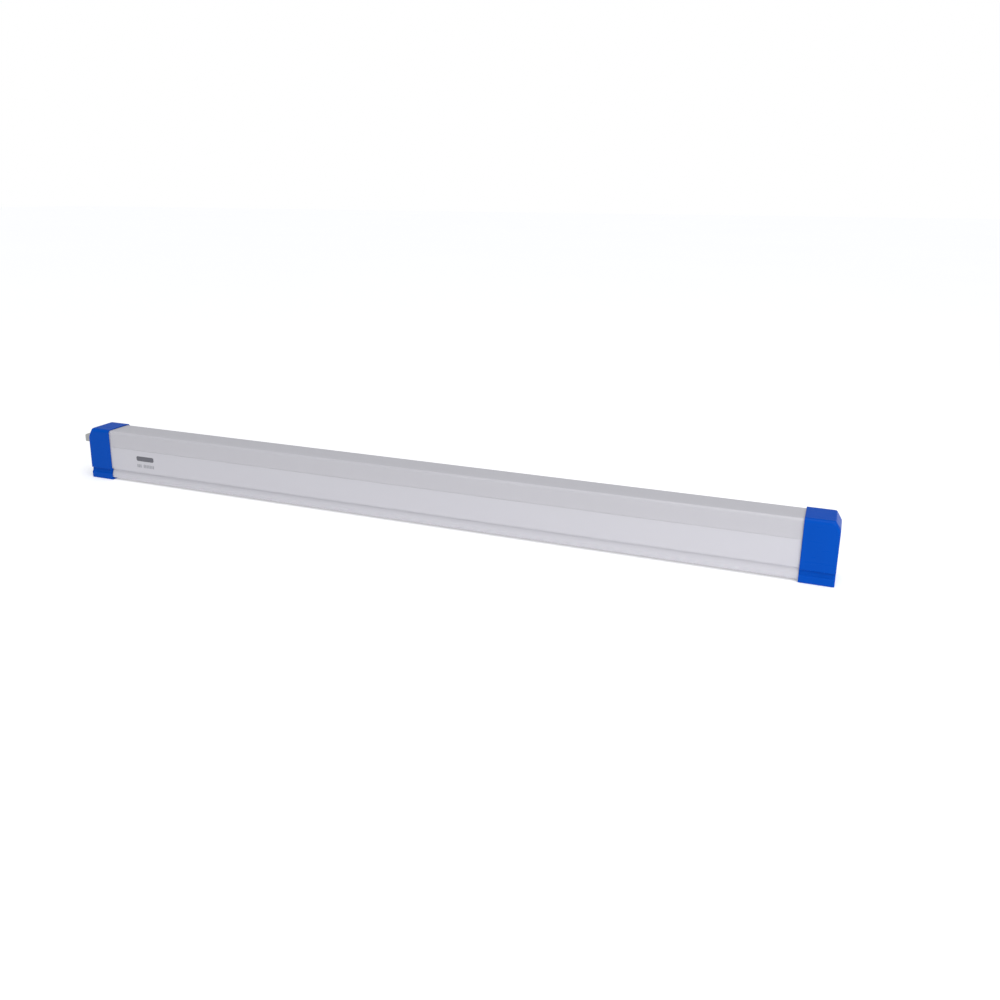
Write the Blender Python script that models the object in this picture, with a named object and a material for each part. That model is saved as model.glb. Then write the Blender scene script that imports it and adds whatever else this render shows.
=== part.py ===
"""Integrated LED light tube with a rectangular body, made of its separate pieces.

Frame: +X runs along the lamp, -Y is its front side, +Z is the light side.
The origin is the centre of the housing's flat underside, halfway between the end caps' ends.
All sizes below are in millimetres, and become metres in the mesh functions.
"""

import math

import bmesh
import bpy
from mathutils import Vector

MM = 0.001
GAP = 0.3  # clearance between pieces that touch or slide into each other

# Driving dimensions of the outside
LENGTH = 600.0  # over both end caps
BODY_HALF_WIDTH = 12.4
BODY_TOP = 41.0
SEAM_Z = 27.1  # top of the housing's side walls, where the diffuser starts
BODY_END = LENGTH / 2 - 7.0  # the housing and the diffuser stop short of the caps' end walls
CAP_DEPTH = 22.0
CAP_HALF_WIDTH = 13.6
CAP_TOP = 41.9
CAP_BOTTOM = -1.8
CAP_END_WALL = 2.0
CAP_CHAMFER = (3.6, 5.6)  # of the upper outer edge: along the lamp, and down
CAP_CHAMFER_ROUND = 1.6  # softens both edges of that chamfer
CAP_END_ROUND = 1.2  # radius of the two upright outer edges
CAP_CORNER = 2.8  # radius of the two long upper edges
CAP_END_CORNER = 4.6  # what that radius grows to at the end face
CAP_CORNER_REACH = 6.0  # and how far from the end face it starts to grow
CAVITY_CHAMFER = (1.9, 3.5)
CAP_FLANGE_TOP = 3.5
CAP_GROOVE_FLOOR = ((0.85, 4.0), (1.4, 7.2))  # (depth, height) at its foot and its head
CAP_GROOVE_LIP = 7.3
CAP_POST_RADIUS = 3.2

# Groove along both sides of the housing, for the mounting clips
BASE_ROUND = 1.0
BASE_RELIEF = 0.1  # how much higher the housing's underside lies inside the caps
FLANGE_TOP = 3.4
GROOVE_DEPTH = 1.4
GROOVE_DEEP_Z = 6.9
GROOVE_LIP = 8.2

# Housing
WALL = 1.4
DECK_BOTTOM = 23.0
DECK_TOP = 24.2
SCREW_Y = 7.9
SCREW_Z = 19.9
SCREW_BOSS_RADIUS = 3.1
SCREW_HOLE_RADIUS = 1.75
SCREW_SEAT_RADIUS = 3.1
SCREW_SEAT_DEPTH = 1.5
SCREW_CHANNEL_SLOT = (195.0, 255.0)  # the channel's open side, in degrees
RAIL_INNER = 8.2
RAIL_OUTER = 9.2
RAIL_TOP = 26.6
RAIL_LIP = 7.4
BEAD = 0.5

# Diffuser
DIFFUSER_ROUND = 2.3
DIFFUSER_WALL = 1.2
LEG_INNER = RAIL_OUTER + GAP
LEG_OUTER = LEG_INNER + 0.7
LEG_BOTTOM = 24.8

# LED board
LED_BOARD_HALF_LENGTH = 287.0
LED_BOARD_HALF_WIDTH = RAIL_INNER - GAP
LED_BOARD_BOTTOM = DECK_TOP + GAP
LED_BOARD_TOP = LED_BOARD_BOTTOM + 1.0
LED_COUNT = 48
LED_PITCH = 12.0
LED_SIZE = (3.5, 2.8, 0.8)

# Connectors in the end walls
PLUG_Z = 30.6
PLUG_REACH = 10.0
PLUG_HALF = (7.0, 3.2)
PLUG_FLANGE_HALF = (8.3, 4.2)
PLUG_BACK_HALF = (6.0, 2.3)
PLUG_BACK_LENGTH = 2.2
SHROUD_HALF = (6.0, 2.0)
SHROUD_FLOOR = 2.0  # how far outside the end face the shroud's hollow ends
SOCKET_HALF = (8.0, 4.2)
SOCKET_FLANGE_HALF = (9.4, 5.2)
SOCKET_LENGTH = 12.0
RECESS_DEPTH = 10.2
RECESS_SPARE = 0.2  # clearance of a plug in the recess
CORE_HALF = (5.8, 1.8)
CONNECTOR_ROUND = 1.2
PIN_Y = 3.2
PIN_RADIUS = 0.8
FLANGE_THICKNESS = 1.5
CONTACT_RADIUS = 1.15
CONTACT_BORE_RADIUS = 0.9
CONTACT_LENGTH = 9.0

# Driver, in the left part of the chamber under the deck
TRAY_X = (-286.0, -172.0)
TRAY_HALF_WIDTH = 8.4
TRAY_WALL = 0.8
TRAY_BOTTOM = 1.7
TRAY_TOP = 10.5
BOARD_X = (-284.0, -174.0)
BOARD_HALF_WIDTH = TRAY_HALF_WIDTH - TRAY_WALL - GAP
BOARD_BOTTOM = 4.3
BOARD_TOP = 5.5
ON_BOARD = BOARD_TOP + GAP

WIRE_DIAMETER = 1.4

ROUND_STEPS = 6


# ---------------------------------------------------------------- mesh tools


def clear_scene():
    for thing in list(bpy.data.objects):
        bpy.data.objects.remove(thing, do_unlink=True)


def make_material(name, colour, roughness, metallic=0.0):
    material = bpy.data.materials.new(name)
    material.use_nodes = True
    shader = material.node_tree.nodes["Principled BSDF"]
    shader.inputs["Base Color"].default_value = (*colour, 1.0)
    shader.inputs["Roughness"].default_value = roughness
    shader.inputs["Metallic"].default_value = metallic
    material.diffuse_color = (*colour, 1.0)
    return material


def link_object(name, mesh, material=None):
    thing = bpy.data.objects.new(name, mesh)
    bpy.context.scene.collection.objects.link(thing)
    if material is not None:
        mesh.materials.append(material)
    return thing


def finish_mesh(name, bm, material=None, smooth=False):
    """Turn a bmesh in millimetres into an object in metres, with its faces pointing out."""
    bmesh.ops.recalc_face_normals(bm, faces=bm.faces)
    bmesh.ops.scale(bm, vec=Vector((MM, MM, MM)), verts=bm.verts)
    mesh = bpy.data.meshes.new(name)
    bm.to_mesh(mesh)
    bm.free()
    if smooth:
        mesh.shade_smooth()
        mesh.set_sharp_from_angle(angle=math.radians(35.0))
    return link_object(name, mesh, material)


def loft(name, rings, material=None, smooth=False):
    """A closed solid through rings of (x, y, z) points, flat at both ends."""
    bm = bmesh.new()
    rows = [[bm.verts.new(point) for point in ring] for ring in rings]
    count = len(rings[0])
    for low, high in zip(rows, rows[1:]):
        for i in range(count):
            j = (i + 1) % count
            bm.faces.new((low[i], low[j], high[j], high[i]))
    bm.faces.new(rows[0])
    bm.faces.new(rows[-1])
    return finish_mesh(name, bm, material, smooth)


def extrude_x(name, outline, stations, material=None, smooth=False):
    """A profile of (y, z) points carried along X through the given stations."""
    return loft(name, [[(x, y, z) for y, z in outline] for x in stations], material, smooth)


def box(name, low, high, material=None):
    bm = bmesh.new()
    bmesh.ops.create_cube(bm, size=1.0)
    size = [b - a for a, b in zip(low, high)]
    middle = [(a + b) / 2 for a, b in zip(low, high)]
    bmesh.ops.scale(bm, vec=Vector(size), verts=bm.verts)
    bmesh.ops.translate(bm, vec=Vector(middle), verts=bm.verts)
    return finish_mesh(name, bm, material)


def turned(name, start, axis, profile, material=None, sides=20):
    """A solid of revolution: profile lists (distance along the axis, radius), and axis is X, Y or Z."""
    along = "XYZ".index(axis)
    first, second = (along + 1) % 3, (along + 2) % 3
    rings = []
    for distance, radius in profile:
        ring = []
        for i in range(sides):
            angle = 2 * math.pi * i / sides
            point = list(start)
            point[along] += distance
            point[first] += radius * math.cos(angle)
            point[second] += radius * math.sin(angle)
            ring.append(tuple(point))
        rings.append(ring)
    return loft(name, rings, material, smooth=True)


def hollow_bar(name, sections, hollow, material):
    """A bar along X through (x, outline) sections, with one hollow outline from end to end."""
    bm = bmesh.new()
    ends = ([], [])
    outside = [[(x, y, z) for y, z in outline] for x, outline in sections]
    inside = [[(x, y, z) for y, z in hollow] for x, _ in sections]
    for rings in (outside, inside):
        rows = [[bm.verts.new(point) for point in ring] for ring in rings]
        for low, high in zip(rows, rows[1:]):
            for i in range(len(low)):
                j = (i + 1) % len(low)
                bm.faces.new((low[i], low[j], high[j], high[i]))
        for edges, row in zip(ends, (rows[0], rows[-1])):
            edges += [bm.edges.get(pair) for pair in zip(row, row[1:] + row[:1])]
    for edges in ends:
        bmesh.ops.triangle_fill(bm, edges=edges, use_beauty=True)
    return finish_mesh(name, bm, material)


def rod(name, start, length, radius, material=None, sides=20):
    """A plain cylinder along X from its start point. A negative length runs towards -X."""
    return turned(name, start, "X", [(0, radius), (length, radius)], material, sides)


def arc(centre_y, centre_z, radius, start, end, steps=ROUND_STEPS):
    """Points of a circular arc in the YZ plane, from start to end in degrees."""
    points = []
    for i in range(steps + 1):
        angle = math.radians(start + (end - start) * i / steps)
        points.append((centre_y + radius * math.cos(angle), centre_z + radius * math.sin(angle)))
    return points


def mirrored(half):
    """Close a half outline, given at +Y from bottom to top, with its mirror image."""
    return half + [(-y, z) for y, z in reversed(half)]


def rounded_rectangle(half_y, half_z, radius, centre_z, steps=3):
    corners = ((1, 1, 0), (-1, 1, 90), (-1, -1, 180), (1, -1, 270))
    points = []
    for side_y, side_z, start in corners:
        centre = (side_y * (half_y - radius), centre_z + side_z * (half_z - radius))
        points += arc(*centre, radius, start, start + 90, steps)
    return points


def boolean(target, cutters, operation="DIFFERENCE"):
    """Cut or join the target with each cutter, which stays in the file as a hidden guide."""
    for cutter in cutters:
        cutter.hide_render = True
        cutter.display_type = "WIRE"
        modifier = target.modifiers.new(cutter.name, "BOOLEAN")
        modifier.operation = operation
        modifier.object = cutter
    return target


def wire(name, route, material):
    """An insulated wire along a smooth curve through the route's points."""
    curve = bpy.data.curves.new(name, "CURVE")
    curve.dimensions = "3D"
    curve.bevel_depth = WIRE_DIAMETER / 2 * MM
    curve.bevel_resolution = 2
    curve.use_fill_caps = True
    points = smooth_route(route)
    spline = curve.splines.new("POLY")
    spline.points.add(len(points) - 1)
    for spot, point in zip(spline.points, points):
        spot.co = (*(point * MM), 1.0)
    return link_object(name, curve, material)


def smooth_route(route, steps=4):
    """Catmull-Rom points through a route, with the long straight stretches left plain."""
    spots = [Vector(point) for point in route]
    spots = [2 * spots[0] - spots[1]] + spots + [2 * spots[-1] - spots[-2]]
    points = [spots[1]]
    for a, b, c, d in zip(spots, spots[1:], spots[2:], spots[3:]):
        pull = (c - b).length / 6
        start = b + (c - a).normalized() * pull * 2
        end = c - (d - b).normalized() * pull * 2
        for i in range(1, steps + 1):
            t = i / steps
            s = 1 - t
            points.append(s**3 * b + 3 * s * s * t * start + 3 * s * t * t * end + t**3 * c)
    return points


# ---------------------------------------------------------------- the body


def clip_groove(half_width, relief):
    """The housing's side from its underside to above the clip groove, as a half outline."""
    deep = half_width - GROOVE_DEPTH
    return [
        *arc(half_width - BASE_ROUND, BASE_ROUND + relief, BASE_ROUND, -90, 0, 4),
        (half_width, FLANGE_TOP),
        (deep, GROOVE_DEEP_Z),
        (deep, GROOVE_LIP),
        (half_width, GROOVE_LIP),
    ]


def housing_outline(relief):
    wall = BODY_HALF_WIDTH - WALL
    bead_bottom = SEAM_Z - 2 * BEAD
    lip_bottom = LED_BOARD_TOP + GAP
    half = [
        *clip_groove(BODY_HALF_WIDTH, relief),
        (BODY_HALF_WIDTH, SEAM_Z),
        (wall - BEAD, SEAM_Z),
        (wall - BEAD, bead_bottom),
        (wall, bead_bottom),
        (wall, DECK_TOP),
        (RAIL_OUTER, DECK_TOP),
        (RAIL_OUTER, RAIL_TOP),
        (RAIL_LIP, RAIL_TOP),
        (RAIL_LIP, lip_bottom),
        (RAIL_INNER, lip_bottom),
        (RAIL_INNER, DECK_TOP),
    ]
    return mirrored(half)


def chamber_outline():
    """The driver chamber under the deck, with a slotted screw channel in each upper corner."""
    wall = BODY_HALF_WIDTH - WALL
    inward = wall - GROOVE_DEPTH
    lower = 0.5  # the slope inside lies this much lower than outside, which keeps the wall even
    slot_start, slot_end = SCREW_CHANNEL_SLOT
    half = [
        (wall, WALL),
        (wall, FLANGE_TOP - lower),
        (inward, GROOVE_DEEP_Z - lower),
        (inward, GROOVE_LIP + WALL),
        (wall, GROOVE_LIP + WALL),
        *arc(SCREW_Y, SCREW_Z, SCREW_BOSS_RADIUS, 360, slot_end),
        *arc(SCREW_Y, SCREW_Z, SCREW_HOLE_RADIUS, slot_end, slot_start + 360, 3 * ROUND_STEPS),
        *arc(SCREW_Y, SCREW_Z, SCREW_BOSS_RADIUS, slot_start, 90),
    ]
    return mirrored(half)


def build_housing(material):
    """The white profile. Its underside steps up a little where it enters the caps."""
    plain, relieved = housing_outline(0.0), housing_outline(BASE_RELIEF)
    under_cap = LENGTH / 2 - CAP_DEPTH - GAP
    right = [(under_cap, plain), (under_cap + GAP, relieved), (BODY_END, relieved)]
    left = [(-x, outline) for x, outline in reversed(right)]
    return hollow_bar("housing", left + right, chamber_outline(), material)


def diffuser_outline():
    """The milky cover: a flat top with round corners, and a snap leg inside each side."""
    inner = BODY_HALF_WIDTH - DIFFUSER_WALL
    foot_bottom = SEAM_Z + GAP
    foot_top = foot_bottom + 1.0
    barb = BODY_HALF_WIDTH - WALL - GAP
    barb_top = SEAM_Z - 2 * BEAD - GAP
    centre = (BODY_HALF_WIDTH - DIFFUSER_ROUND, BODY_TOP - DIFFUSER_ROUND)
    outside = [
        (BODY_HALF_WIDTH, foot_bottom),
        *arc(*centre, DIFFUSER_ROUND, 0, 90),
    ]
    inside = [
        *arc(*centre, DIFFUSER_ROUND - DIFFUSER_WALL, 90, 0),
        (inner, foot_top),
        (LEG_INNER, foot_top),
        (LEG_INNER, LEG_BOTTOM),
        (LEG_OUTER - 0.1, LEG_BOTTOM),
        (barb, barb_top - GAP),
        (barb, barb_top),
        (LEG_OUTER, barb_top),
        (LEG_OUTER, foot_bottom),
    ]
    left_outside = [(-y, z) for y, z in reversed(outside)]
    left_inside = [(-y, z) for y, z in reversed(inside)]
    return outside + left_outside + left_inside + inside


def build_diffuser(material):
    return extrude_x("diffuser", diffuser_outline(), (-BODY_END, BODY_END), material, smooth=True)


# ---------------------------------------------------------------- end caps


def cap_section(half_width, top, corner):
    """The cap's outside: the body's shape with its own clip groove, as closed (y, z) points."""
    half = [
        *arc(half_width - BASE_ROUND, CAP_BOTTOM + BASE_ROUND, BASE_ROUND, -90, 0, 4),
        (half_width, CAP_FLANGE_TOP),
        *[(half_width - depth, z) for depth, z in CAP_GROOVE_FLOOR],
        (half_width, CAP_GROOVE_LIP),
        *arc(half_width - corner, top - corner, corner, 0, 90),
    ]
    return mirrored(half)


def cavity_section(top):
    """The sleeve inside the cap: the body's outline with clearance all round."""
    half_width = BODY_HALF_WIDTH + GAP
    deep = half_width - GROOVE_DEPTH
    lift = 0.06  # keeps the clearance square to the groove's slope
    corner = DIFFUSER_ROUND + GAP
    half = [
        *arc(half_width - BASE_ROUND, BASE_ROUND - GAP, BASE_ROUND, -90, 0, 4),
        (half_width, FLANGE_TOP + lift),
        (deep, GROOVE_DEEP_Z + lift),
        (deep, GROOVE_LIP - GAP),
        (half_width, GROOVE_LIP - GAP),
        *arc(half_width - corner, top - corner, corner, 0, 90),
    ]
    return mirrored(half)


def quarter_drop(distance, radius):
    """How far a quarter round of this radius has fallen at a distance from the end face."""
    if distance >= radius:
        return 0.0
    return radius - math.sqrt(radius**2 - (radius - distance) ** 2)


def quarter_stations(radius, steps):
    """Distances from the end face at which a quarter round turns by equal angles."""
    return [radius * (1 - math.cos(math.pi / 2 * i / steps)) for i in range(steps + 1)]


def soft_chamfer(along, down, radius, steps=3):
    """(distance, drop) points of the end's chamfer, whose two edges are rounded."""
    turn = math.atan2(along, down)
    foot = (radius, down + radius * math.tan(turn / 2))
    head = (along + radius * math.tan((math.pi / 2 - turn) / 2), radius)
    points = []
    for centre, start, end in ((foot, 0.0, turn), (head, turn, math.pi / 2)):
        for i in range(steps + 1):
            angle = start + (end - start) * i / steps
            points.append((centre[0] - radius * math.cos(angle), centre[1] - radius * math.sin(angle)))
    return points


def drop_at(profile, distance):
    """How far a chamfer's profile has fallen at a distance from the end face."""
    for (near, near_drop), (far, far_drop) in zip(profile, profile[1:]):
        if near <= distance < far:
            return near_drop + (far_drop - near_drop) * (distance - near) / (far - near)
    return 0.0


def cap_shell(name, side, material):
    """The cap's outside as a solid block, chamfered and rounded at its closed end."""
    chamfer = soft_chamfer(*CAP_CHAMFER, CAP_CHAMFER_ROUND)
    stations = {distance for distance, _ in chamfer}
    stations |= set(quarter_stations(CAP_END_ROUND, 3)) | {2.2, 5.2, CAP_CORNER_REACH, CAP_DEPTH}
    rings = []
    for distance in sorted(stations):
        width = CAP_HALF_WIDTH - quarter_drop(distance, CAP_END_ROUND)
        growth = max(0.0, 1 - distance / CAP_CORNER_REACH) ** 2
        corner = CAP_CORNER + (CAP_END_CORNER - CAP_CORNER) * growth
        outline = cap_section(width, CAP_TOP - drop_at(chamfer, distance), corner)
        rings.append([(side * (LENGTH / 2 - distance), y, z) for y, z in outline])
    return loft(name, rings, material)


def cap_cavity(name, side):
    along, down = CAVITY_CHAMFER
    rings = []
    for distance, drop in ((0, down), (along, 0), (CAP_DEPTH, 0)):
        outline = cavity_section(BODY_TOP + GAP - drop)
        rings.append([(side * (LENGTH / 2 - CAP_END_WALL - distance), y, z) for y, z in outline])
    return loft(name, rings)


def build_cap(name, side, mouth_half, material):
    """A blue sleeve cap. side is -1 at the left and +1 at the right."""
    end = LENGTH / 2
    mouth_x = sorted((side * (end - CAP_END_WALL - 1), side * (end + 1)))
    mouth_outline = rounded_rectangle(*mouth_half, CONNECTOR_ROUND, PLUG_Z)
    mouth = extrude_x(f"{name}_mouth_cutter", mouth_outline, mouth_x)
    cap = boolean(cap_shell(name, side, material), [cap_cavity(f"{name}_cavity_cutter", side), mouth])

    sunk = 0.5  # how far a post reaches into the end wall, so that the two join
    foot = end - CAP_END_WALL + sunk
    post_length = foot - BODY_END - GAP
    for word, y in (("front", -SCREW_Y), ("back", SCREW_Y)):
        post_start = (side * foot, y, SCREW_Z)
        post = rod(f"{name}_{word}_post", post_start, -side * post_length, CAP_POST_RADIUS)
        boolean(cap, [post], "UNION")
        outside = (side * (end + 1), y, SCREW_Z)
        hole = rod(f"{name}_{word}_hole_cutter", outside, -side * CAP_DEPTH / 2, SCREW_HOLE_RADIUS)
        seat_length = -side * (SCREW_SEAT_DEPTH + 1)
        seat = rod(f"{name}_{word}_seat_cutter", outside, seat_length, SCREW_SEAT_RADIUS)
        boolean(cap, [hole, seat])
    return cap


def build_cap_screw(name, side, y, material):
    """A self-tapping cross-head screw, through the cap's end wall into the housing's channel."""
    start = (side * (LENGTH / 2 - 0.1), y, SCREW_Z)
    profile = [(0, 2.2), (0.35, 2.8), (1.1, 2.8), (1.1, 1.45), (15.5, 1.45), (18.0, 0.3)]
    screw = turned(name, start, "X", [(-side * d, r) for d, r in profile], material, sides=24)
    recess_depth, slot_long, slot_thin = 0.7, 1.5, 0.3
    slots = []
    for word, half_y, half_z in (("level", slot_long, slot_thin), ("upright", slot_thin, slot_long)):
        x_low, x_high = sorted((start[0] + side, start[0] - side * recess_depth))
        low = (x_low, y - half_y, SCREW_Z - half_z)
        high = (x_high, y + half_y, SCREW_Z + half_z)
        slots.append(box(f"{name}_{word}_slot_cutter", low, high))
    return boolean(screw, slots)


# ---------------------------------------------------------------- connectors


def stepped_block(name, side, steps, material):
    """A connector body: steps list (from x, to x, half y, half z), as distances from the lamp's middle."""
    rings = []
    for x_from, x_to, half_y, half_z in steps:
        outline = rounded_rectangle(half_y, half_z, CONNECTOR_ROUND, PLUG_Z)
        rings += [[(side * x, y, z) for y, z in outline] for x in (x_from, x_to)]
    return loft(name, rings, material)


def build_inlet(material):
    """The mains inlet on the left cap: a shroud round two pins."""
    end = LENGTH / 2
    behind_wall = end - CAP_END_WALL - GAP
    flange_back = behind_wall - FLANGE_THICKNESS
    back = flange_back - PLUG_BACK_LENGTH
    steps = [
        (end + PLUG_REACH, behind_wall, *PLUG_HALF),
        (behind_wall, flange_back, *PLUG_FLANGE_HALF),
        (flange_back, back, *PLUG_BACK_HALF),
    ]
    inlet = stepped_block("inlet_plug", -1, steps, material)
    shroud = rounded_rectangle(*SHROUD_HALF, 0.8, PLUG_Z)
    hollow_x = (-end - PLUG_REACH - 1, -end - SHROUD_FLOOR)
    cutters = [extrude_x("inlet_shroud_cutter", shroud, hollow_x)]
    blind_end = 1.0  # what stays closed behind the pins
    reach = end + SHROUD_FLOOR + 1 - back - blind_end
    for word, y in (("live", -PIN_Y), ("neutral", PIN_Y)):
        start = (-end - SHROUD_FLOOR - 1, y, PLUG_Z)
        cutters.append(rod(f"inlet_{word}_hole_cutter", start, reach, PIN_RADIUS + GAP))
    return boolean(inlet, cutters)


def build_inlet_pin(name, y, material):
    start = (-LENGTH / 2 - PLUG_REACH + 1.5, y, PLUG_Z)
    profile = [(0, 0.35), (0.5, 0.7), (1.2, PIN_RADIUS), (13.0, PIN_RADIUS)]
    return turned(name, start, "X", profile, material, sides=16)


def build_outlet(material):
    """The outlet on the right cap: a recess round a core that holds two contact sleeves."""
    end = LENGTH / 2
    behind_wall = end - CAP_END_WALL - GAP
    flange_back = behind_wall - FLANGE_THICKNESS
    steps = [
        (end - 0.2, behind_wall, *SOCKET_HALF),
        (behind_wall, flange_back, *SOCKET_FLANGE_HALF),
        (flange_back, end - SOCKET_LENGTH, *SOCKET_HALF),
    ]
    outlet = stepped_block("outlet_socket", 1, steps, material)
    recess_half = [half + RECESS_SPARE for half in PLUG_HALF]
    recess = rounded_rectangle(*recess_half, CONNECTOR_ROUND, PLUG_Z)
    core = rounded_rectangle(*CORE_HALF, 0.7, PLUG_Z)
    ring = extrude_x("outlet_recess_cutter", recess, (end - RECESS_DEPTH, end + 1))
    kept_core = extrude_x("outlet_core_keep", core, (end - RECESS_DEPTH - 1, end - 1))
    boolean(ring, [kept_core])
    cutters = [ring]
    for word, y in (("live", -PIN_Y), ("neutral", PIN_Y)):
        start = (end + 1, y, PLUG_Z)
        hole_radius = CONTACT_RADIUS + 0.2
        cutters.append(rod(f"outlet_{word}_hole_cutter", start, -SOCKET_LENGTH, hole_radius))
    return boolean(outlet, cutters)


def build_outlet_contact(name, y, material):
    """A brass sleeve, open towards the plug's pin and closed at its foot."""
    start = (LENGTH / 2 - 1.6, y, PLUG_Z)
    mouth = (start[0] + 1, y, PLUG_Z)
    contact = rod(name, start, -CONTACT_LENGTH, CONTACT_RADIUS, material, sides=16)
    bore = rod(f"{name}_bore_cutter", mouth, 0.5 - CONTACT_LENGTH, CONTACT_BORE_RADIUS, sides=16)
    return boolean(contact, [bore])


# ---------------------------------------------------------------- electronics


def build_led_board(material):
    low = (-LED_BOARD_HALF_LENGTH, -LED_BOARD_HALF_WIDTH, LED_BOARD_BOTTOM)
    high = (LED_BOARD_HALF_LENGTH, LED_BOARD_HALF_WIDTH, LED_BOARD_TOP)
    board = box("led_board", low, high, material)
    bm = bmesh.new()
    sunk = 0.1  # how far a chip reaches into the board, so that the two join
    long, wide, tall = LED_SIZE
    for i in range(LED_COUNT):
        x = (i - (LED_COUNT - 1) / 2) * LED_PITCH
        chip = bmesh.ops.create_cube(bm, size=1.0)["verts"]
        bmesh.ops.scale(bm, vec=Vector((long, wide, tall + sunk)), verts=chip)
        middle = LED_BOARD_TOP + (tall - sunk) / 2
        bmesh.ops.translate(bm, vec=Vector((x, 0, middle)), verts=chip)
    chips = finish_mesh("led_board_chips", bm)
    return boolean(board, [chips], "UNION")


def build_driver_tray(material):
    """An insulating channel that holds the driver board off the housing."""
    wall = TRAY_HALF_WIDTH - TRAY_WALL
    floor = TRAY_BOTTOM + TRAY_WALL
    support = BOARD_BOTTOM - GAP
    rib_inner, rib_outer = 5.0, 6.0  # the two ribs that the board lies on
    half = [
        (TRAY_HALF_WIDTH, TRAY_BOTTOM),
        (TRAY_HALF_WIDTH, TRAY_TOP),
        (wall, TRAY_TOP),
        (wall, floor),
        (rib_outer, floor),
        (rib_outer, support),
        (rib_inner, support),
        (rib_inner, floor),
    ]
    return extrude_x("driver_tray", mirrored(half), TRAY_X, material)


def build_driver_board(material):
    low = (BOARD_X[0], -BOARD_HALF_WIDTH, BOARD_BOTTOM)
    high = (BOARD_X[1], BOARD_HALF_WIDTH, BOARD_TOP)
    return box("driver_board", low, high, material)


def build_block(name, centre, size, material):
    """A component that stands on the driver board: centre is (x, y), size is (x, y, z)."""
    low = (centre[0] - size[0] / 2, centre[1] - size[1] / 2, ON_BOARD)
    high = (centre[0] + size[0] / 2, centre[1] + size[1] / 2, ON_BOARD + size[2])
    block = box(name, low, high, material)
    bevel = block.modifiers.new("edges", "BEVEL")
    bevel.width = 0.3 * MM
    bevel.segments = 1
    return block


def build_lying_capacitor(name, x_start, length, radius, material):
    """An electrolytic capacitor on its side, with the crimp near its leads."""
    start = (x_start, 0, ON_BOARD + radius + 0.1)
    profile = [
        (0, radius - 0.4),
        (0.4, radius),
        (1.6, radius),
        (2.0, radius - 0.5),
        (2.6, radius - 0.5),
        (3.0, radius),
        (length - 0.4, radius),
        (length, radius - 0.4),
    ]
    return turned(name, start, "X", profile, material)


def build_power_inductor(core_material, coil_material):
    """A ferrite core with a middle leg, and the coil round that leg."""
    middle_x = -210.0
    half_x, half_y, height = 5.1, 2.4, 10.0
    window_x, window_wall = (1.2, 3.9), 1.6  # the two windows beside the leg, and the yokes' height
    coil_half_x, coil_half_y, coil_bore = 3.5, 4.7, 1.5
    bottom, top = ON_BOARD, ON_BOARD + height
    low, high = (middle_x - half_x, -half_y, bottom), (middle_x + half_x, half_y, top)
    core = box("inductor_core", low, high, core_material)
    windows = []
    for word, side in (("left", -1), ("right", 1)):
        x_low, x_high = sorted(middle_x + side * x for x in window_x)
        low = (x_low, -half_y - 1, bottom + window_wall)
        high = (x_high, half_y + 1, top - window_wall)
        windows.append(box(f"inductor_{word}_window_cutter", low, high))
    boolean(core, windows)
    coil_gap = window_wall + 0.4
    low = (middle_x - coil_half_x, -coil_half_y, bottom + coil_gap)
    high = (middle_x + coil_half_x, coil_half_y, top - coil_gap)
    coil = box("inductor_coil", low, high, coil_material)
    low = (middle_x - coil_bore, -half_y - GAP, bottom)
    high = (middle_x + coil_bore, half_y + GAP, top)
    boolean(coil, [box("inductor_leg_cutter", low, high)])


def build_choke(material):
    """A drum choke: winding between two flanges."""
    profile = [(0, 3.5), (1.2, 3.5), (1.2, 3.0), (7.3, 3.0), (7.3, 3.5), (8.5, 3.5)]
    turned("filter_choke", (-252.5, 3.4, ON_BOARD), "Z", profile, material)


def build_components(paint):
    fuse_half = [(0, 1.2), (0.5, 1.6), (1.6, 1.6), (2.0, 1.35)]
    fuse_length = 8.0
    fuse_profile = fuse_half + [(fuse_length - d, r) for d, r in reversed(fuse_half)]
    turned("fuse_resistor", (-276.5, 4.2, ON_BOARD + 1.7), "X", fuse_profile, paint["resistor_green"])
    disc_profile = [(0, 3.1), (0.6, 3.5), (3.0, 3.5), (3.6, 3.1)]
    turned("varistor", (-274.8, -2.8, ON_BOARD + 3.8), "X", disc_profile, paint["varistor_blue"])
    build_block("bridge_rectifier", (-263.5, 0.0), (4.8, 3.9, 2.6), paint["chip_black"])
    build_block("film_capacitor", (-252.5, -3.7), (11.0, 5.2, 9.5), paint["film_red"])
    build_choke(paint["winding_copper"])
    build_lying_capacitor("input_capacitor", -243.0, 14.0, 4.0, paint["sleeve_black"])
    build_block("driver_chip", (-222.5, -3.5), (4.9, 3.9, 1.5), paint["chip_black"])
    build_block("output_diode", (-222.5, 3.6), (4.4, 2.6, 2.2), paint["chip_black"])
    build_power_inductor(paint["ferrite_grey"], paint["tape_yellow"])
    build_lying_capacitor("output_capacitor", -199.0, 12.0, 4.0, paint["sleeve_black"])


# ---------------------------------------------------------------- wiring

UNDER_INLET = PLUG_Z - PLUG_BACK_HALF[1] - 0.4
UNDER_OUTLET = PLUG_Z - SOCKET_HALF[1] - 0.4

def supply_route(side):
    """From the inlet down past the deck's end to the driver board's input pads."""
    return [
        (-295.1, 1.3 * side, UNDER_INLET),
        (-295.3, 1.3 * side, 26.0),
        (-296.6, 1.3 * side, 22.0),
        (-296.6, 1.3 * side, 16.0),
        (-294.6, 1.6 * side, 11.6),
        (-289.0, 2.8 * side, 8.6),
        (-283.5, 4.0 * side, 6.9),
        (-280.5, 4.2 * side, 6.6),
    ]


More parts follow.
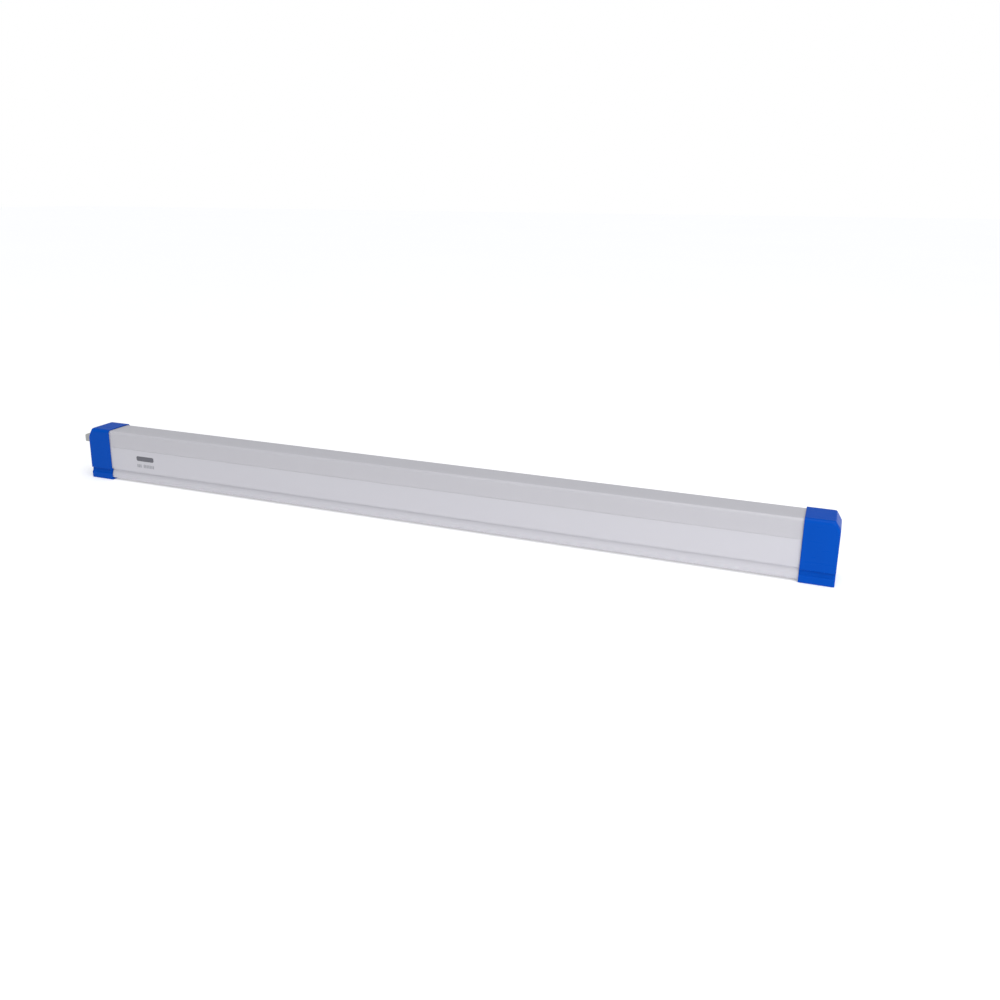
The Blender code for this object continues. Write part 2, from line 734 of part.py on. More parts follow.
def through_route(side):
    """From the inlet along the chamber to the outlet in the other cap."""
    left = [
        (-295.1, 3.6 * side, UNDER_INLET),
        (-295.3, 3.6 * side, 26.0),
        (-296.6, 3.6 * side, 22.0),
        (-296.6, 3.6 * side, 17.0),
        (-293.6, 4.6 * side, 13.2),
        (-286.0, 7.6 * side, 12.5),
        (-276.0, 9.7 * side, 12.5),
    ]
    right = [(-x, y, z) for x, y, z in reversed(left[2:])]
    return left + [(0, 9.7 * side, 12.5)] + right + [(295.2, 3.6 * side, UNDER_OUTLET)]


def led_route(side):
    """From the driver's output back under the deck, round its end and onto the LED board."""
    return [
        (-179.5, 4.5 * side, 6.6),
        (-173.5, 4.2 * side, 8.0),
        (-168.5, 3.2 * side, 14.0),
        (-174.0, 2.5 * side, 19.4),
        (-190.0, 2.4 * side, 20.8),
        (-285.0, 2.4 * side, 20.8),
        (-292.2, 2.4 * side, 21.3),
        (-294.3, 2.4 * side, 23.8),
        (-292.6, 2.5 * side, 26.6),
        (-288.0, 3.6 * side, 26.9),
        (-284.5, 4.6 * side, 26.6),
    ]


def build_wiring(paint):
    wire("supply_wire_live", supply_route(-1), paint["wire_brown"])
    wire("supply_wire_neutral", supply_route(1), paint["wire_blue"])
    wire("through_wire_live", through_route(-1), paint["wire_brown"])
    wire("through_wire_neutral", through_route(1), paint["wire_blue"])
    wire("led_wire_positive", led_route(-1), paint["wire_red"])
    wire("led_wire_negative", led_route(1), paint["wire_black"])


# ---------------------------------------------------------------- assembly

PAINTS = {
    "housing_white": ((0.615, 0.615, 0.65), 0.42, 0.0),
    "diffuser_milky": ((0.56, 0.562, 0.59), 0.36, 0.0),
    "cap_blue": ((0.0, 0.075, 0.48), 0.30, 0.0),
    "connector_grey": ((0.42, 0.42, 0.40), 0.45, 0.0),
    "pin_brass": ((0.78, 0.57, 0.25), 0.30, 1.0),
    "screw_steel": ((0.62, 0.62, 0.62), 0.35, 1.0),
    "led_board_white": ((0.85, 0.85, 0.83), 0.45, 0.0),
    "driver_board_green": ((0.05, 0.20, 0.09), 0.45, 0.0),
    "tray_clear": ((0.75, 0.76, 0.76), 0.40, 0.0),
    "resistor_green": ((0.10, 0.30, 0.22), 0.50, 0.0),
    "varistor_blue": ((0.03, 0.10, 0.42), 0.40, 0.0),
    "chip_black": ((0.02, 0.02, 0.02), 0.50, 0.0),
    "film_red": ((0.45, 0.06, 0.03), 0.35, 0.0),
    "winding_copper": ((0.55, 0.22, 0.10), 0.35, 1.0),
    "sleeve_black": ((0.03, 0.03, 0.05), 0.35, 0.0),
    "ferrite_grey": ((0.07, 0.07, 0.07), 0.60, 0.0),
    "tape_yellow": ((0.75, 0.55, 0.05), 0.35, 0.0),
    "wire_brown": ((0.16, 0.07, 0.03), 0.45, 0.0),
    "wire_blue": ((0.04, 0.14, 0.45), 0.45, 0.0),
    "wire_red": ((0.50, 0.03, 0.02), 0.45, 0.0),
    "wire_black": ((0.03, 0.03, 0.03), 0.45, 0.0),
}


def main():
    clear_scene()
    paint = {name: make_material(name, *values) for name, values in PAINTS.items()}
    build_housing(paint["housing_white"])
    build_diffuser(paint["diffuser_milky"])
    inlet_hole = [half + GAP for half in PLUG_HALF]
    outlet_hole = [half + GAP for half in SOCKET_HALF]
    build_cap("end_cap_left", -1, inlet_hole, paint["cap_blue"])
    build_cap("end_cap_right", 1, outlet_hole, paint["cap_blue"])
    for place, side in (("left", -1), ("right", 1)):
        for word, y in (("front", -SCREW_Y), ("back", SCREW_Y)):
            build_cap_screw(f"cap_screw_{place}_{word}", side, y, paint["screw_steel"])
    build_inlet(paint["connector_grey"])
    build_outlet(paint["connector_grey"])
    for word, y in (("live", -PIN_Y), ("neutral", PIN_Y)):
        build_inlet_pin(f"inlet_pin_{word}", y, paint["pin_brass"])
        build_outlet_contact(f"outlet_contact_{word}", y, paint["pin_brass"])
    build_led_board(paint["led_board_white"])
    build_driver_tray(paint["tray_clear"])
    build_driver_board(paint["driver_board_green"])
    build_components(paint)
    build_wiring(paint)


main()
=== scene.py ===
"""Looks of the linkable LED light tube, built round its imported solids.

Frame: +X along the lamp, -Y its front, +Z its light side, origin under the housing's middle.
Lengths are written in millimetres and become metres in the mesh functions.
"""

import math

import bmesh
import bpy
from mathutils import Matrix, Vector


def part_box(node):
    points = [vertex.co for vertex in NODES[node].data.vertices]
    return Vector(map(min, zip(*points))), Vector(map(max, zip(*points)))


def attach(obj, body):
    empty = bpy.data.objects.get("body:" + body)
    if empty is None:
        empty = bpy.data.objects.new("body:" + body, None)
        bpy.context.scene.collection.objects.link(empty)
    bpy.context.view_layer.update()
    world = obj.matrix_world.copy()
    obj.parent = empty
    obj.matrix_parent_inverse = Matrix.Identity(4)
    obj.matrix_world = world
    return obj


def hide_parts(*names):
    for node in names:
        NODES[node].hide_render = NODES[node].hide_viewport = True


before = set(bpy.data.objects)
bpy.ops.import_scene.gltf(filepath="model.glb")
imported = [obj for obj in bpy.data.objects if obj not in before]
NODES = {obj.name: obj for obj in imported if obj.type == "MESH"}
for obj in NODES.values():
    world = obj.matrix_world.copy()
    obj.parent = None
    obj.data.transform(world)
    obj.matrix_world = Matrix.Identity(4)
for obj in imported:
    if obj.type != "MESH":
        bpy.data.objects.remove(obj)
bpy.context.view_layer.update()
MM = 0.001
SAME_POINT = 0.0005  # points nearer than this are one point


def box_mm(node):
    """A node's lowest and highest corners, in millimetres."""
    low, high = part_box(node)
    return low / MM, high / MM


def axis_mm(node):
    """The low X end of a round solid's axis along X, with its length and radius."""
    low, high = box_mm(node)
    start = (low.x, (low.y + high.y) / 2, (low.z + high.z) / 2)
    return start, high.x - low.x, (high.y - low.y) / 2


# Sizes taken from the frame
HOUSING_HIGH = box_mm("housing")[1]
DIFFUSER_LOW, DIFFUSER_HIGH = box_mm("diffuser")
CAP_LOW, CAP_HIGH = box_mm("end_cap_right")
BOARD_LOW, BOARD_HIGH = box_mm("led_board")
HALF_LENGTH = CAP_HIGH.x
BODY_HALF = HOUSING_HIGH.y
BODY_END = HOUSING_HIGH.x
SEAM_Z = HOUSING_HIGH.z
BODY_TOP = DIFFUSER_HIGH.z
CAP_HALF = CAP_HIGH.y
CAP_TOP = CAP_HIGH.z
CAP_BOTTOM = CAP_LOW.z
CAP_DEPTH = CAP_HIGH.x - CAP_LOW.x
FLOOR_Z = CAP_BOTTOM
BODY_STATIONS = [BODY_END * i / 12 for i in range(-12, 13)]

# Details of the sections that the boxes don't give
LED_HEIGHT = 0.8
BOARD_FACE = BOARD_HIGH.z - LED_HEIGHT
FLANGE_TOP = 3.4
GROOVE_DEPTH = 1.4
GROOVE_DEEP_Z = 6.9
GROOVE_LIP = 8.2
BASE_ROUND = 1.0
HOUSING_WALL = 1.4
DECK_TOP = 24.2
RAIL_INNER = 8.2
RAIL_OUTER = 9.2
RAIL_TOP = 26.6
RAIL_LIP = 7.4
BEAD = 0.5
SCREW_Y = 7.9
SCREW_Z = 19.9
BOSS_RADIUS = 3.1
SCREW_HOLE = 1.75
SLOT_START, SLOT_END = 195, 255  # degrees between which the screw channel is open
POST_RADIUS = 3.2
SCREW_HOLE_DEPTH = 9.0
SEAT_RADIUS = 3.1
SEAT_DEPTH = 1.5
DIFFUSER_ROUND = 2.3
DIFFUSER_WALL = 1.2
SEAM_LINE = 0.05  # width of the fine line between housing and diffuser
CAP_FIT = 0.12  # clearance between a cap's sleeve and the body
MOUTH_PLAY = 0.15  # and between its opening and the connector
CAP_CHAMFER = (3.6, 5.6)  # of the end's upper edge: along the lamp, and down
CAP_CHAMFER_ROUND = 1.6
CAP_END_ROUND = 1.2
CAP_CORNER = 2.8  # radius of the long upper edges
CAP_END_CORNER = 4.6  # what it grows to at the end face
CAP_CORNER_REACH = 6.0
CAP_END_WALL = 2.0
CAP_FLANGE_TOP = 3.5
CAP_GROOVE_FLOOR = ((0.85, 4.0), (1.4, 7.2))  # (depth, height) at its foot and its head
CAP_GROOVE_LIP = 7.3
CAVITY_CHAMFER = (1.9, 3.5)
ARC_STEP = math.radians(11.0)
SIGNS = ((1, -1), (1, 1), (-1, 1), (-1, -1))  # of a rectangle's corners, in turn


# ---------------- mesh tools


def add_object(name, data):
    thing = bpy.data.objects.new(name, data)
    bpy.context.scene.collection.objects.link(thing)
    return thing


def finish_mesh(name, bm, material, sharp=40.0):
    """Turn a bmesh in millimetres into an object in metres, with its faces pointing out."""
    bmesh.ops.remove_doubles(bm, verts=bm.verts, dist=SAME_POINT)
    bmesh.ops.recalc_face_normals(bm, faces=bm.faces)
    bmesh.ops.scale(bm, vec=Vector((MM, MM, MM)), verts=bm.verts)
    mesh = bpy.data.meshes.new(name)
    bm.to_mesh(mesh)
    bm.free()
    mesh.shade_smooth()
    mesh.set_sharp_from_angle(angle=math.radians(sharp))
    if material is not None:
        mesh.materials.append(material)
    return add_object(name, mesh)


def place(piece, slot, *stands_for):
    """Ride the piece on the lamp's one body and hide the solids that it stands for. slot, the finish's
    name, is not used.
    """
    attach(piece, "root")
    if stands_for:
        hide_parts(*stands_for)


def rounded(corners, arc_steps):
    """A closed outline through (a, b, radius) corners, each turned into an arc of its radius.

    arc_steps fixes the steps of every arc, so that rings of different size match point for
    point. None leaves them to the angle that the arc turns through.
    """
    points = []
    count = len(corners)
    for i, (a, b, radius) in enumerate(corners):
        here = Vector((a, b))
        before = Vector(corners[i - 1][:2]) - here
        after = Vector(corners[(i + 1) % count][:2]) - here
        angle = before.angle(after, math.pi)
        if radius <= 0 or abs(angle - math.pi) < 1e-4:
            points.append((a, b))
            continue
        reach = radius / math.tan(angle / 2)
        inward = (before.normalized() + after.normalized()).normalized()
        centre = here + inward * radius / math.sin(angle / 2)
        start = here + before.normalized() * reach - centre
        turn = math.pi - angle
        if start.x * before.y - start.y * before.x > 0:
            turn = -turn
        steps = arc_steps or max(2, math.ceil(abs(turn) / ARC_STEP))
        for k in range(steps + 1):
            c, s = math.cos(turn * k / steps), math.sin(turn * k / steps)
            points.append((centre.x + start.x * c - start.y * s, centre.y + start.x * s + start.y * c))
    return points


def rectangle(centre, half, more=0.0, corner=0.0, steps=8):
    """A rectangle's outline, grown by more on every side, with its corners rounded or not."""
    a_half, b_half = half[0] + more, half[1] + more
    corners = [(centre[0] + a * a_half, centre[1] + b * b_half, corner) for a, b in SIGNS]
    return rounded(corners, steps)


def across(x, outline):
    """The (y, z) outline as a ring of points at x."""
    return [(x, y, z) for y, z in outline]


def mirrored(half, arc_steps=None):
    """A rounded outline through corners given at +Y and their mirror images."""
    return rounded(half + [(-y, z, radius) for y, z, radius in reversed(half)], arc_steps)


def add_tube(bm, rings, closed_ends=True):
    """Quads between rings of points, and flat ends. Returns the rings of vertices."""
    rows = [[bm.verts.new(point) for point in ring] for ring in rings]
    for low, high in zip(rows, rows[1:]):
        for i in range(len(low)):
            j = (i + 1) % len(low)
            bm.faces.new((low[i], low[j], high[j], high[i]))
    if closed_ends:
        bm.faces.new(rows[0])
        bm.faces.new(rows[-1])
    return rows


def ring_edges(bm, row):
    return [bm.edges.get((a, b)) for a, b in zip(row, row[1:] + row[:1])]


def profile_bar(name, outlines, material):
    """One or more (y, z) outlines carried along the body, with the ends filled between them."""
    bm = bmesh.new()
    first, last = [], []
    for outline in outlines:
        rows = add_tube(bm, [across(x, outline) for x in BODY_STATIONS], closed_ends=False)
        first += ring_edges(bm, rows[0])
        last += ring_edges(bm, rows[-1])
    for edges in (first, last):
        bmesh.ops.triangle_fill(bm, edges=edges, use_beauty=True)
    return flatten_shading(finish_mesh(name, bm, material))


def ringed(name, rings, material, sharp=40.0):
    bm = bmesh.new()
    add_tube(bm, rings)
    return finish_mesh(name, bm, material, sharp=sharp)


def turn_rings(start, axis, profile, sides):
    """Rings of a solid of revolution. profile lists (distance along the axis, radius)."""
    along = "XYZ".index(axis)
    first, second = (along + 1) % 3, (along + 2) % 3
    rings = []
    for distance, radius in profile:
        ring = []
        for i in range(sides):
            angle = 2 * math.pi * i / sides
            point = list(start)
            point[along] += distance
            point[first] += radius * math.cos(angle)
            point[second] += radius * math.sin(angle)
            ring.append(tuple(point))
        rings.append(ring)
    return rings


def turned(name, start, axis, profile, material, sides=32, sharp=40.0):
    return ringed(name, turn_rings(start, axis, profile, sides), material, sharp)


def box_rings(stations, centre):
    """Rectangular rings across X. stations lists (x, half y, half z)."""
    return [across(x, rectangle(centre, half)) for x, *half in stations]


def bake_modifiers(thing):
    graph = bpy.context.evaluated_depsgraph_get()
    baked = bpy.data.meshes.new_from_object(thing.evaluated_get(graph), depsgraph=graph)
    thing.modifiers.clear()
    thing.data = baked


def flatten_shading(thing):
    """Weigh the normals by area, so that flat faces shade flat beside their rounded edges."""
    modifier = thing.modifiers.new("weigh", "WEIGHTED_NORMAL")
    modifier.keep_sharp = True
    bake_modifiers(thing)
    return thing


def cut(target, cutters, operation="DIFFERENCE"):
    """Cut or join with solids, which are used up, and smooth the result again."""
    for cutter in cutters:
        modifier = target.modifiers.new("cut", "BOOLEAN")
        modifier.operation = operation
        modifier.object = cutter
    bake_modifiers(target)
    target.data.shade_smooth()
    target.data.set_sharp_from_angle(angle=math.radians(35.0))
    for cutter in cutters:
        bpy.data.objects.remove(cutter, do_unlink=True)
    return target


# ---------------- materials


NOISE_RANGE = (0.3, 0.7)  # between which most of a noise's values lie


class Recipe:
    """A Principled material under construction, with short calls for the usual nodes."""

    def __init__(self, name, colour, roughness, metallic=0.0, specular=0.5):
        self.material = bpy.data.materials.new(name)
        self.material.use_nodes = True
        self.material.diffuse_color = (*colour, 1.0)
        self.tree = self.material.node_tree
        self.shader = self.tree.nodes["Principled BSDF"]
        self.colour = colour
        self.roughness = roughness
        self.shader.inputs["Base Color"].default_value = (*colour, 1.0)
        self.shader.inputs["Roughness"].default_value = roughness
        self.shader.inputs["Metallic"].default_value = metallic
        self.shader.inputs["Specular IOR Level"].default_value = specular
        self.coordinates = self.tree.nodes.new("ShaderNodeTexCoord").outputs["Object"]

    def noise(self, scale, detail, stretch=(1, 1, 1), rough=0.5):
        """Noise with scale cells to the metre, stretched by dividing along each axis."""
        mapping = self.tree.nodes.new("ShaderNodeMapping")
        mapping.inputs["Scale"].default_value = tuple(scale / s for s in stretch)
        self.tree.links.new(self.coordinates, mapping.inputs["Vector"])
        noise = self.tree.nodes.new("ShaderNodeTexNoise")
        noise.inputs["Scale"].default_value = 1.0
        noise.inputs["Detail"].default_value = detail
        noise.inputs["Roughness"].default_value = rough
        self.tree.links.new(mapping.outputs["Vector"], noise.inputs["Vector"])
        return noise.outputs["Fac"]

    def vary_colour(self, value, darker, lighter):
        """Colour from darker to lighter times the base, where value goes from low to high."""
        ramp = self.tree.nodes.new("ShaderNodeValToRGB")
        for element, factor, spot in zip(ramp.color_ramp.elements, (darker, lighter), NOISE_RANGE):
            element.position = spot
            element.color = (*[min(1.0, channel * factor) for channel in self.colour], 1.0)
        self.tree.links.new(value, ramp.inputs["Fac"])
        self.tree.links.new(ramp.outputs["Color"], self.shader.inputs["Base Color"])

    def vary_roughness(self, value, below, above):
        """Roughness from below to above the base, where value goes from low to high."""
        node = self.tree.nodes.new("ShaderNodeMapRange")
        limits = (*NOISE_RANGE, self.roughness - below, self.roughness + above)
        for socket, limit in zip(("From Min", "From Max", "To Min", "To Max"), limits):
            node.inputs[socket].default_value = limit
        self.tree.links.new(value, node.inputs["Value"])
        self.tree.links.new(node.outputs["Result"], self.shader.inputs["Roughness"])

    def bump(self, heights):
        """heights lists (value, depth in millimetres). The bumps are chained."""
        normal = None
        for value, depth in heights:
            node = self.tree.nodes.new("ShaderNodeBump")
            node.inputs["Distance"].default_value = depth * MM
            node.inputs["Strength"].default_value = 1.0
            self.tree.links.new(value, node.inputs["Height"])
            if normal is not None:
                self.tree.links.new(normal, node.inputs["Normal"])
            normal = node.outputs["Normal"]
        self.tree.links.new(normal, self.shader.inputs["Normal"])


def extruded_plastic(name, colour, roughness, specular, scatter):
    """Extruded sheet plastic: faint die lines along X, a soft mottle and a fine satin tooth."""
    recipe = Recipe(name, colour, roughness, specular=specular)
    die_lines = recipe.noise(1100, stretch=(900, 1, 1), detail=2.0)
    waves = recipe.noise(70, stretch=(9, 1, 1), detail=2.0)
    tooth = recipe.noise(5200, detail=2.0)
    mottle = recipe.noise(14, stretch=(3, 1, 1), detail=4.0, rough=0.6)
    recipe.vary_colour(mottle, 0.985, 1.012)
    recipe.vary_roughness(waves, 0.05, 0.06)
    recipe.bump([(die_lines, 0.012), (waves, 0.02), (tooth, 0.003)])
    recipe.shader.inputs["Subsurface Weight"].default_value = scatter
    recipe.shader.inputs["Subsurface Radius"].default_value = (1.0, 1.0, 1.0)
    recipe.shader.inputs["Subsurface Scale"].default_value = 1.5 * MM
    return recipe.material


def moulded_plastic(name, colour, roughness, specular=0.5, mottle=0.03):
    """Injection moulded plastic: a fine spark-eroded grain, flow marks and slight rub marks."""
    recipe = Recipe(name, colour, roughness, specular=specular)
    fine = recipe.noise(3200, detail=2.0)
    flow = recipe.noise(90, stretch=(1, 1, 2.5), detail=3.0)
    rub = recipe.noise(420, stretch=(7, 1, 1), detail=4.0, rough=0.7)
    recipe.vary_colour(flow, 1 - mottle, 1 + mottle)
    recipe.vary_roughness(rub, 0.05, 0.09)
    recipe.bump([(fine, 0.006), (flow, 0.03)])
    return recipe.material


def metal(name, colour, roughness, brushed=(1, 1, 1)):
    """Bare metal with fine drawing lines along one axis and uneven tarnish."""
    recipe = Recipe(name, colour, roughness, metallic=1.0)
    lines = recipe.noise(4200, stretch=brushed, detail=3.0)
    tarnish = recipe.noise(260, detail=4.0, rough=0.6)
    recipe.vary_colour(tarnish, 0.86, 1.06)
    recipe.vary_roughness(tarnish, 0.07, 0.12)
    recipe.bump([(lines, 0.004)])
    return recipe.material


def coated(name, colour, roughness, waviness=0.02, mottle=0.05):
    """Lacquer, sleeve, tape or solder mask: glossy, slightly wavy and uneven in tone."""
    recipe = Recipe(name, colour, roughness)
    waves = recipe.noise(600, detail=2.0)
    cloud = recipe.noise(160, detail=3.0)
    fine = recipe.noise(4000, detail=2.0)
    recipe.vary_colour(cloud, 1 - mottle, 1 + mottle)
    recipe.vary_roughness(cloud, 0.06, 0.08)
    recipe.bump([(waves, waviness), (fine, 0.003)])
    return recipe.material


def sintered(name, colour, roughness):
    """Ferrite, moulded epoxy and fired ceramic: matt, with pits."""
    recipe = Recipe(name, colour, roughness)
    pits = recipe.noise(2600, detail=5.0, rough=0.7)
    cloud = recipe.noise(300, detail=3.0)
    recipe.vary_colour(cloud, 0.85, 1.15)
    recipe.vary_roughness(pits, 0.08, 0.08)
    recipe.bump([(pits, 0.02)])
    return recipe.material


HOUSING_WHITE = extruded_plastic("housing_white", (0.572, 0.563, 0.600), 0.42, 0.35, 0.15)
DIFFUSER_MILKY = extruded_plastic("diffuser_milky", (0.523, 0.514, 0.545), 0.36, 0.40, 0.35)
CAP_BLUE = moulded_plastic("cap_blue", (0.0, 0.070, 0.440), 0.30, specular=0.05, mottle=0.02)
CONNECTOR_GREY = moulded_plastic("connector_grey", (0.42, 0.42, 0.40), 0.45)
TRAY_NATURAL = moulded_plastic("tray_natural", (0.75, 0.76, 0.76), 0.40)
PIN_BRASS = metal("pin_brass", (0.78, 0.57, 0.25), 0.26, brushed=(40, 1, 1))
SCREW_STEEL = metal("screw_steel", (0.62, 0.62, 0.63), 0.32)
TINNED_WIRE = metal("tinned_wire", (0.70, 0.70, 0.69), 0.25)
CORE_ALUMINIUM = metal("core_aluminium", (0.76, 0.77, 0.78), 0.34, brushed=(60, 1, 1))
COPPER_WIRE = metal("copper_wire", (0.62, 0.25, 0.11), 0.24)
PRINT_DARK = coated("print_dark", (0.13, 0.13, 0.15), 0.55, waviness=0.002)
PRINT_LIGHT = coated("print_light", (0.33, 0.33, 0.36), 0.55, waviness=0.002)
MASK_WHITE = coated("mask_white", (0.85, 0.85, 0.83), 0.40, waviness=0.004, mottle=0.02)
MASK_GREEN = coated("mask_green", (0.05, 0.20, 0.09), 0.36, waviness=0.010)
PHOSPHOR_YELLOW = coated("phosphor_yellow", (0.80, 0.60, 0.10), 0.30, waviness=0.008)
LACQUER_GREEN = coated("lacquer_green", (0.10, 0.30, 0.22), 0.40)
EPOXY_BLUE = coated("epoxy_blue", (0.03, 0.10, 0.42), 0.34)
EPOXY_RED = coated("epoxy_red", (0.45, 0.06, 0.03), 0.30)
SLEEVE_BLACK = coated("sleeve_black", (0.03, 0.03, 0.05), 0.33, waviness=0.012)
TAPE_YELLOW = coated("tape_yellow", (0.75, 0.55, 0.05), 0.32, waviness=0.015)
PVC_BROWN = coated("pvc_brown", (0.16, 0.07, 0.03), 0.42, waviness=0.010)
PVC_BLUE = coated("pvc_blue", (0.04, 0.14, 0.45), 0.42, waviness=0.010)
PVC_RED = coated("pvc_red", (0.50, 0.03, 0.02), 0.42, waviness=0.010)
PVC_BLACK = coated("pvc_black", (0.03, 0.03, 0.03), 0.42, waviness=0.010)
RUBBER_BLACK = sintered("rubber_black", (0.025, 0.025, 0.025), 0.65)
CHIP_EPOXY = sintered("chip_epoxy", (0.022, 0.022, 0.024), 0.48)
FERRITE_GREY = sintered("ferrite_grey", (0.07, 0.07, 0.07), 0.55)
PACKAGE_WHITE = sintered("package_white", (0.78, 0.78, 0.75), 0.50)


# ---------------- the body


def housing_outline():
    """The housing's outside with its clip grooves, and the seat for the diffuser on top."""
    deep = BODY_HALF - GROOVE_DEPTH
    wall = BODY_HALF - HOUSING_WALL
    bead_bottom = SEAM_Z - 2 * BEAD
    lip_bottom = BOARD_FACE + 0.3
    half = [
        (BODY_HALF, 0, BASE_ROUND),
        (BODY_HALF, FLANGE_TOP, 0.35),
        (deep, GROOVE_DEEP_Z, 0.3),
        (deep, GROOVE_LIP, 0.15),
        (BODY_HALF, GROOVE_LIP, 0.3),
        (BODY_HALF, SEAM_Z, 0.15),
        (wall - BEAD, SEAM_Z, 0.2),
        (wall - BEAD, bead_bottom, 0.15),
        (wall, bead_bottom, 0),
        (wall, DECK_TOP, 0.3),
        (RAIL_OUTER, DECK_TOP, 0.3),
        (RAIL_OUTER, RAIL_TOP, 0.2),
        (RAIL_LIP, RAIL_TOP, 0.2),
        (RAIL_LIP, lip_bottom, 0.1),
        (RAIL_INNER, lip_bottom, 0.1),
        (RAIL_INNER, DECK_TOP, 0.1),
    ]
    return mirrored(half)


def arc_corners(radius, start, end, steps):
    """Unrounded corners along an arc round the screw channel, from start to end in degrees."""
    corners = []
    for i in range(steps + 1):
        angle = math.radians(start + (end - start) * i / steps)
        corners.append((SCREW_Y + radius * math.cos(angle), SCREW_Z + radius * math.sin(angle), 0))
    return corners


def chamber_outline():
    """The chamber under the deck, with a slotted screw channel in each upper corner."""
    wall = BODY_HALF - HOUSING_WALL
    inward = wall - GROOVE_DEPTH
    half = [
        (wall, HOUSING_WALL, 0.5),
        (wall, FLANGE_TOP - 0.5, 0.5),
        (inward, GROOVE_DEEP_Z - 0.5, 0.5),
        (inward, GROOVE_LIP + HOUSING_WALL, 0.5),
        (wall, GROOVE_LIP + HOUSING_WALL, 0.5),
        *arc_corners(BOSS_RADIUS, 360, SLOT_END, 8),
        *arc_corners(SCREW_HOLE, SLOT_END, SLOT_START + 360, 24),
        *arc_corners(BOSS_RADIUS, SLOT_START, 90, 8),
    ]
    return mirrored(half)


def build_housing():
    piece = profile_bar("housing_shell", [housing_outline(), chamber_outline()], HOUSING_WHITE)
    place(piece, "housing_white", "housing")


def build_diffuser():
    """The milky cover with its flat top, round corners and snap legs."""
    foot = SEAM_Z + SEAM_LINE
    inner = BODY_HALF - DIFFUSER_WALL
    leg_inner = RAIL_OUTER + 0.3
    leg_outer = leg_inner + 0.7
    barb = BODY_HALF - HOUSING_WALL - 0.3
    barb_top = SEAM_Z - 2 * BEAD - 0.3
    leg_bottom = DIFFUSER_LOW.z
    half = [
        (inner, BODY_TOP - DIFFUSER_WALL, DIFFUSER_ROUND - DIFFUSER_WALL),
        (inner, foot + 1.2, 0.4),
        (leg_inner, foot + 1.2, 0.3),
        (leg_inner, leg_bottom, 0.1),
        (leg_outer - 0.1, leg_bottom, 0.2),
        (barb, barb_top - 0.35, 0.1),
        (barb, barb_top, 0.1),
        (leg_outer, barb_top, 0.1),
        (leg_outer, foot, 0.1),
        (BODY_HALF, foot, 0.12),
        (BODY_HALF, BODY_TOP, DIFFUSER_ROUND),
    ]
    piece = profile_bar("diffuser_cover", [mirrored(half)], DIFFUSER_MILKY)
    place(piece, "diffuser_milky", "diffuser")


def build_print(name, centres, half, material):
    """Plain bars of ink on the housing's front, round (x, z) centres."""
    bm = bmesh.new()
    film, sunk = 0.03, 0.05
    for centre in centres:
        outline = rectangle(centre, half, corner=min(half) * 2 / 3, steps=9)
        add_tube(bm, [[(x, y - BODY_HALF, z) for x, z in outline] for y in (sunk, -film)])
    place(finish_mesh(name, bm, material), "housing_white")


def build_prints():
    """One bold bar, and two groups of short dashes under it: no letters."""
    build_print("print_bar", [(-242.05, 20.15)], (8.85, 2.05), PRINT_DARK)
    pitch = 1.6
    xs = [-250.05 + pitch * i for i in range(3)] + [-243.45 + pitch * i for i in range(7)]
    build_print("print_dashes", [(x, 13.9) for x in xs], (0.55, 1.4), PRINT_LIGHT)


# ---------------- end caps


def cap_outline(shrink, top, corner):
    """The cap's section. shrink pulls its sides in."""
    side = CAP_HALF - shrink
    (foot_depth, foot_z), (head_depth, head_z) = CAP_GROOVE_FLOOR
    half = [
        (side, CAP_BOTTOM, BASE_ROUND),
        (side, CAP_FLANGE_TOP, 0.3),
        (side - foot_depth, foot_z, 0.25),
        (side - head_depth, head_z, 0.1),
        (side, CAP_GROOVE_LIP, 0.35),
        (side, top, corner),
    ]
    return mirrored(half, arc_steps=8)


def sleeve_outline(spare, drop=0.0):
    """The cap's inside: the body's section with a little spare all round. drop lowers its top."""
    side = BODY_HALF + spare
    deep = side - GROOVE_DEPTH
    half = [
        (side, -spare, BASE_ROUND),
        (side, FLANGE_TOP, 0.4),
        (deep, GROOVE_DEEP_Z, 0.35),
        (deep, GROOVE_LIP - spare, 0.2),
        (side, GROOVE_LIP - spare, 0.35),
        (side, BODY_TOP + spare - drop, DIFFUSER_ROUND + CAP_FIT),
    ]
    return mirrored(half, arc_steps=8)


def quarter_drop(distance, radius):
    """How far a quarter round of this radius has fallen at a distance from the end face."""
    if distance >= radius:
        return 0.0
    return radius - math.sqrt(radius**2 - (radius - distance) ** 2)


def quarter_stations(radius, steps):
    """Distances from the end face at which a quarter round turns by equal angles."""
    return [radius * (1 - math.cos(math.pi / 2 * i / steps)) for i in range(steps + 1)]


def soft_chamfer(along, down, radius, steps):
    """(distance, drop) points of the end's chamfer, whose two edges are rounded."""
    turn = math.atan2(along, down)
    foot = (radius, down + radius * math.tan(turn / 2))
    head = (along + radius * math.tan((math.pi / 2 - turn) / 2), radius)
    points = []
    for centre, start, end in ((foot, 0.0, turn), (head, turn, math.pi / 2)):
        for i in range(steps + 1):
            angle = start + (end - start) * i / steps
            points.append((centre[0] - radius * math.cos(angle), centre[1] - radius * math.sin(angle)))
    return points


def drop_at(profile, distance):
    """How far a chamfer's profile has fallen at a distance from the end face."""
    for (near, near_drop), (far, far_drop) in zip(profile, profile[1:]):
        if near <= distance < far:
            return near_drop + (far_drop - near_drop) * (distance - near) / (far - near)
    return 0.0


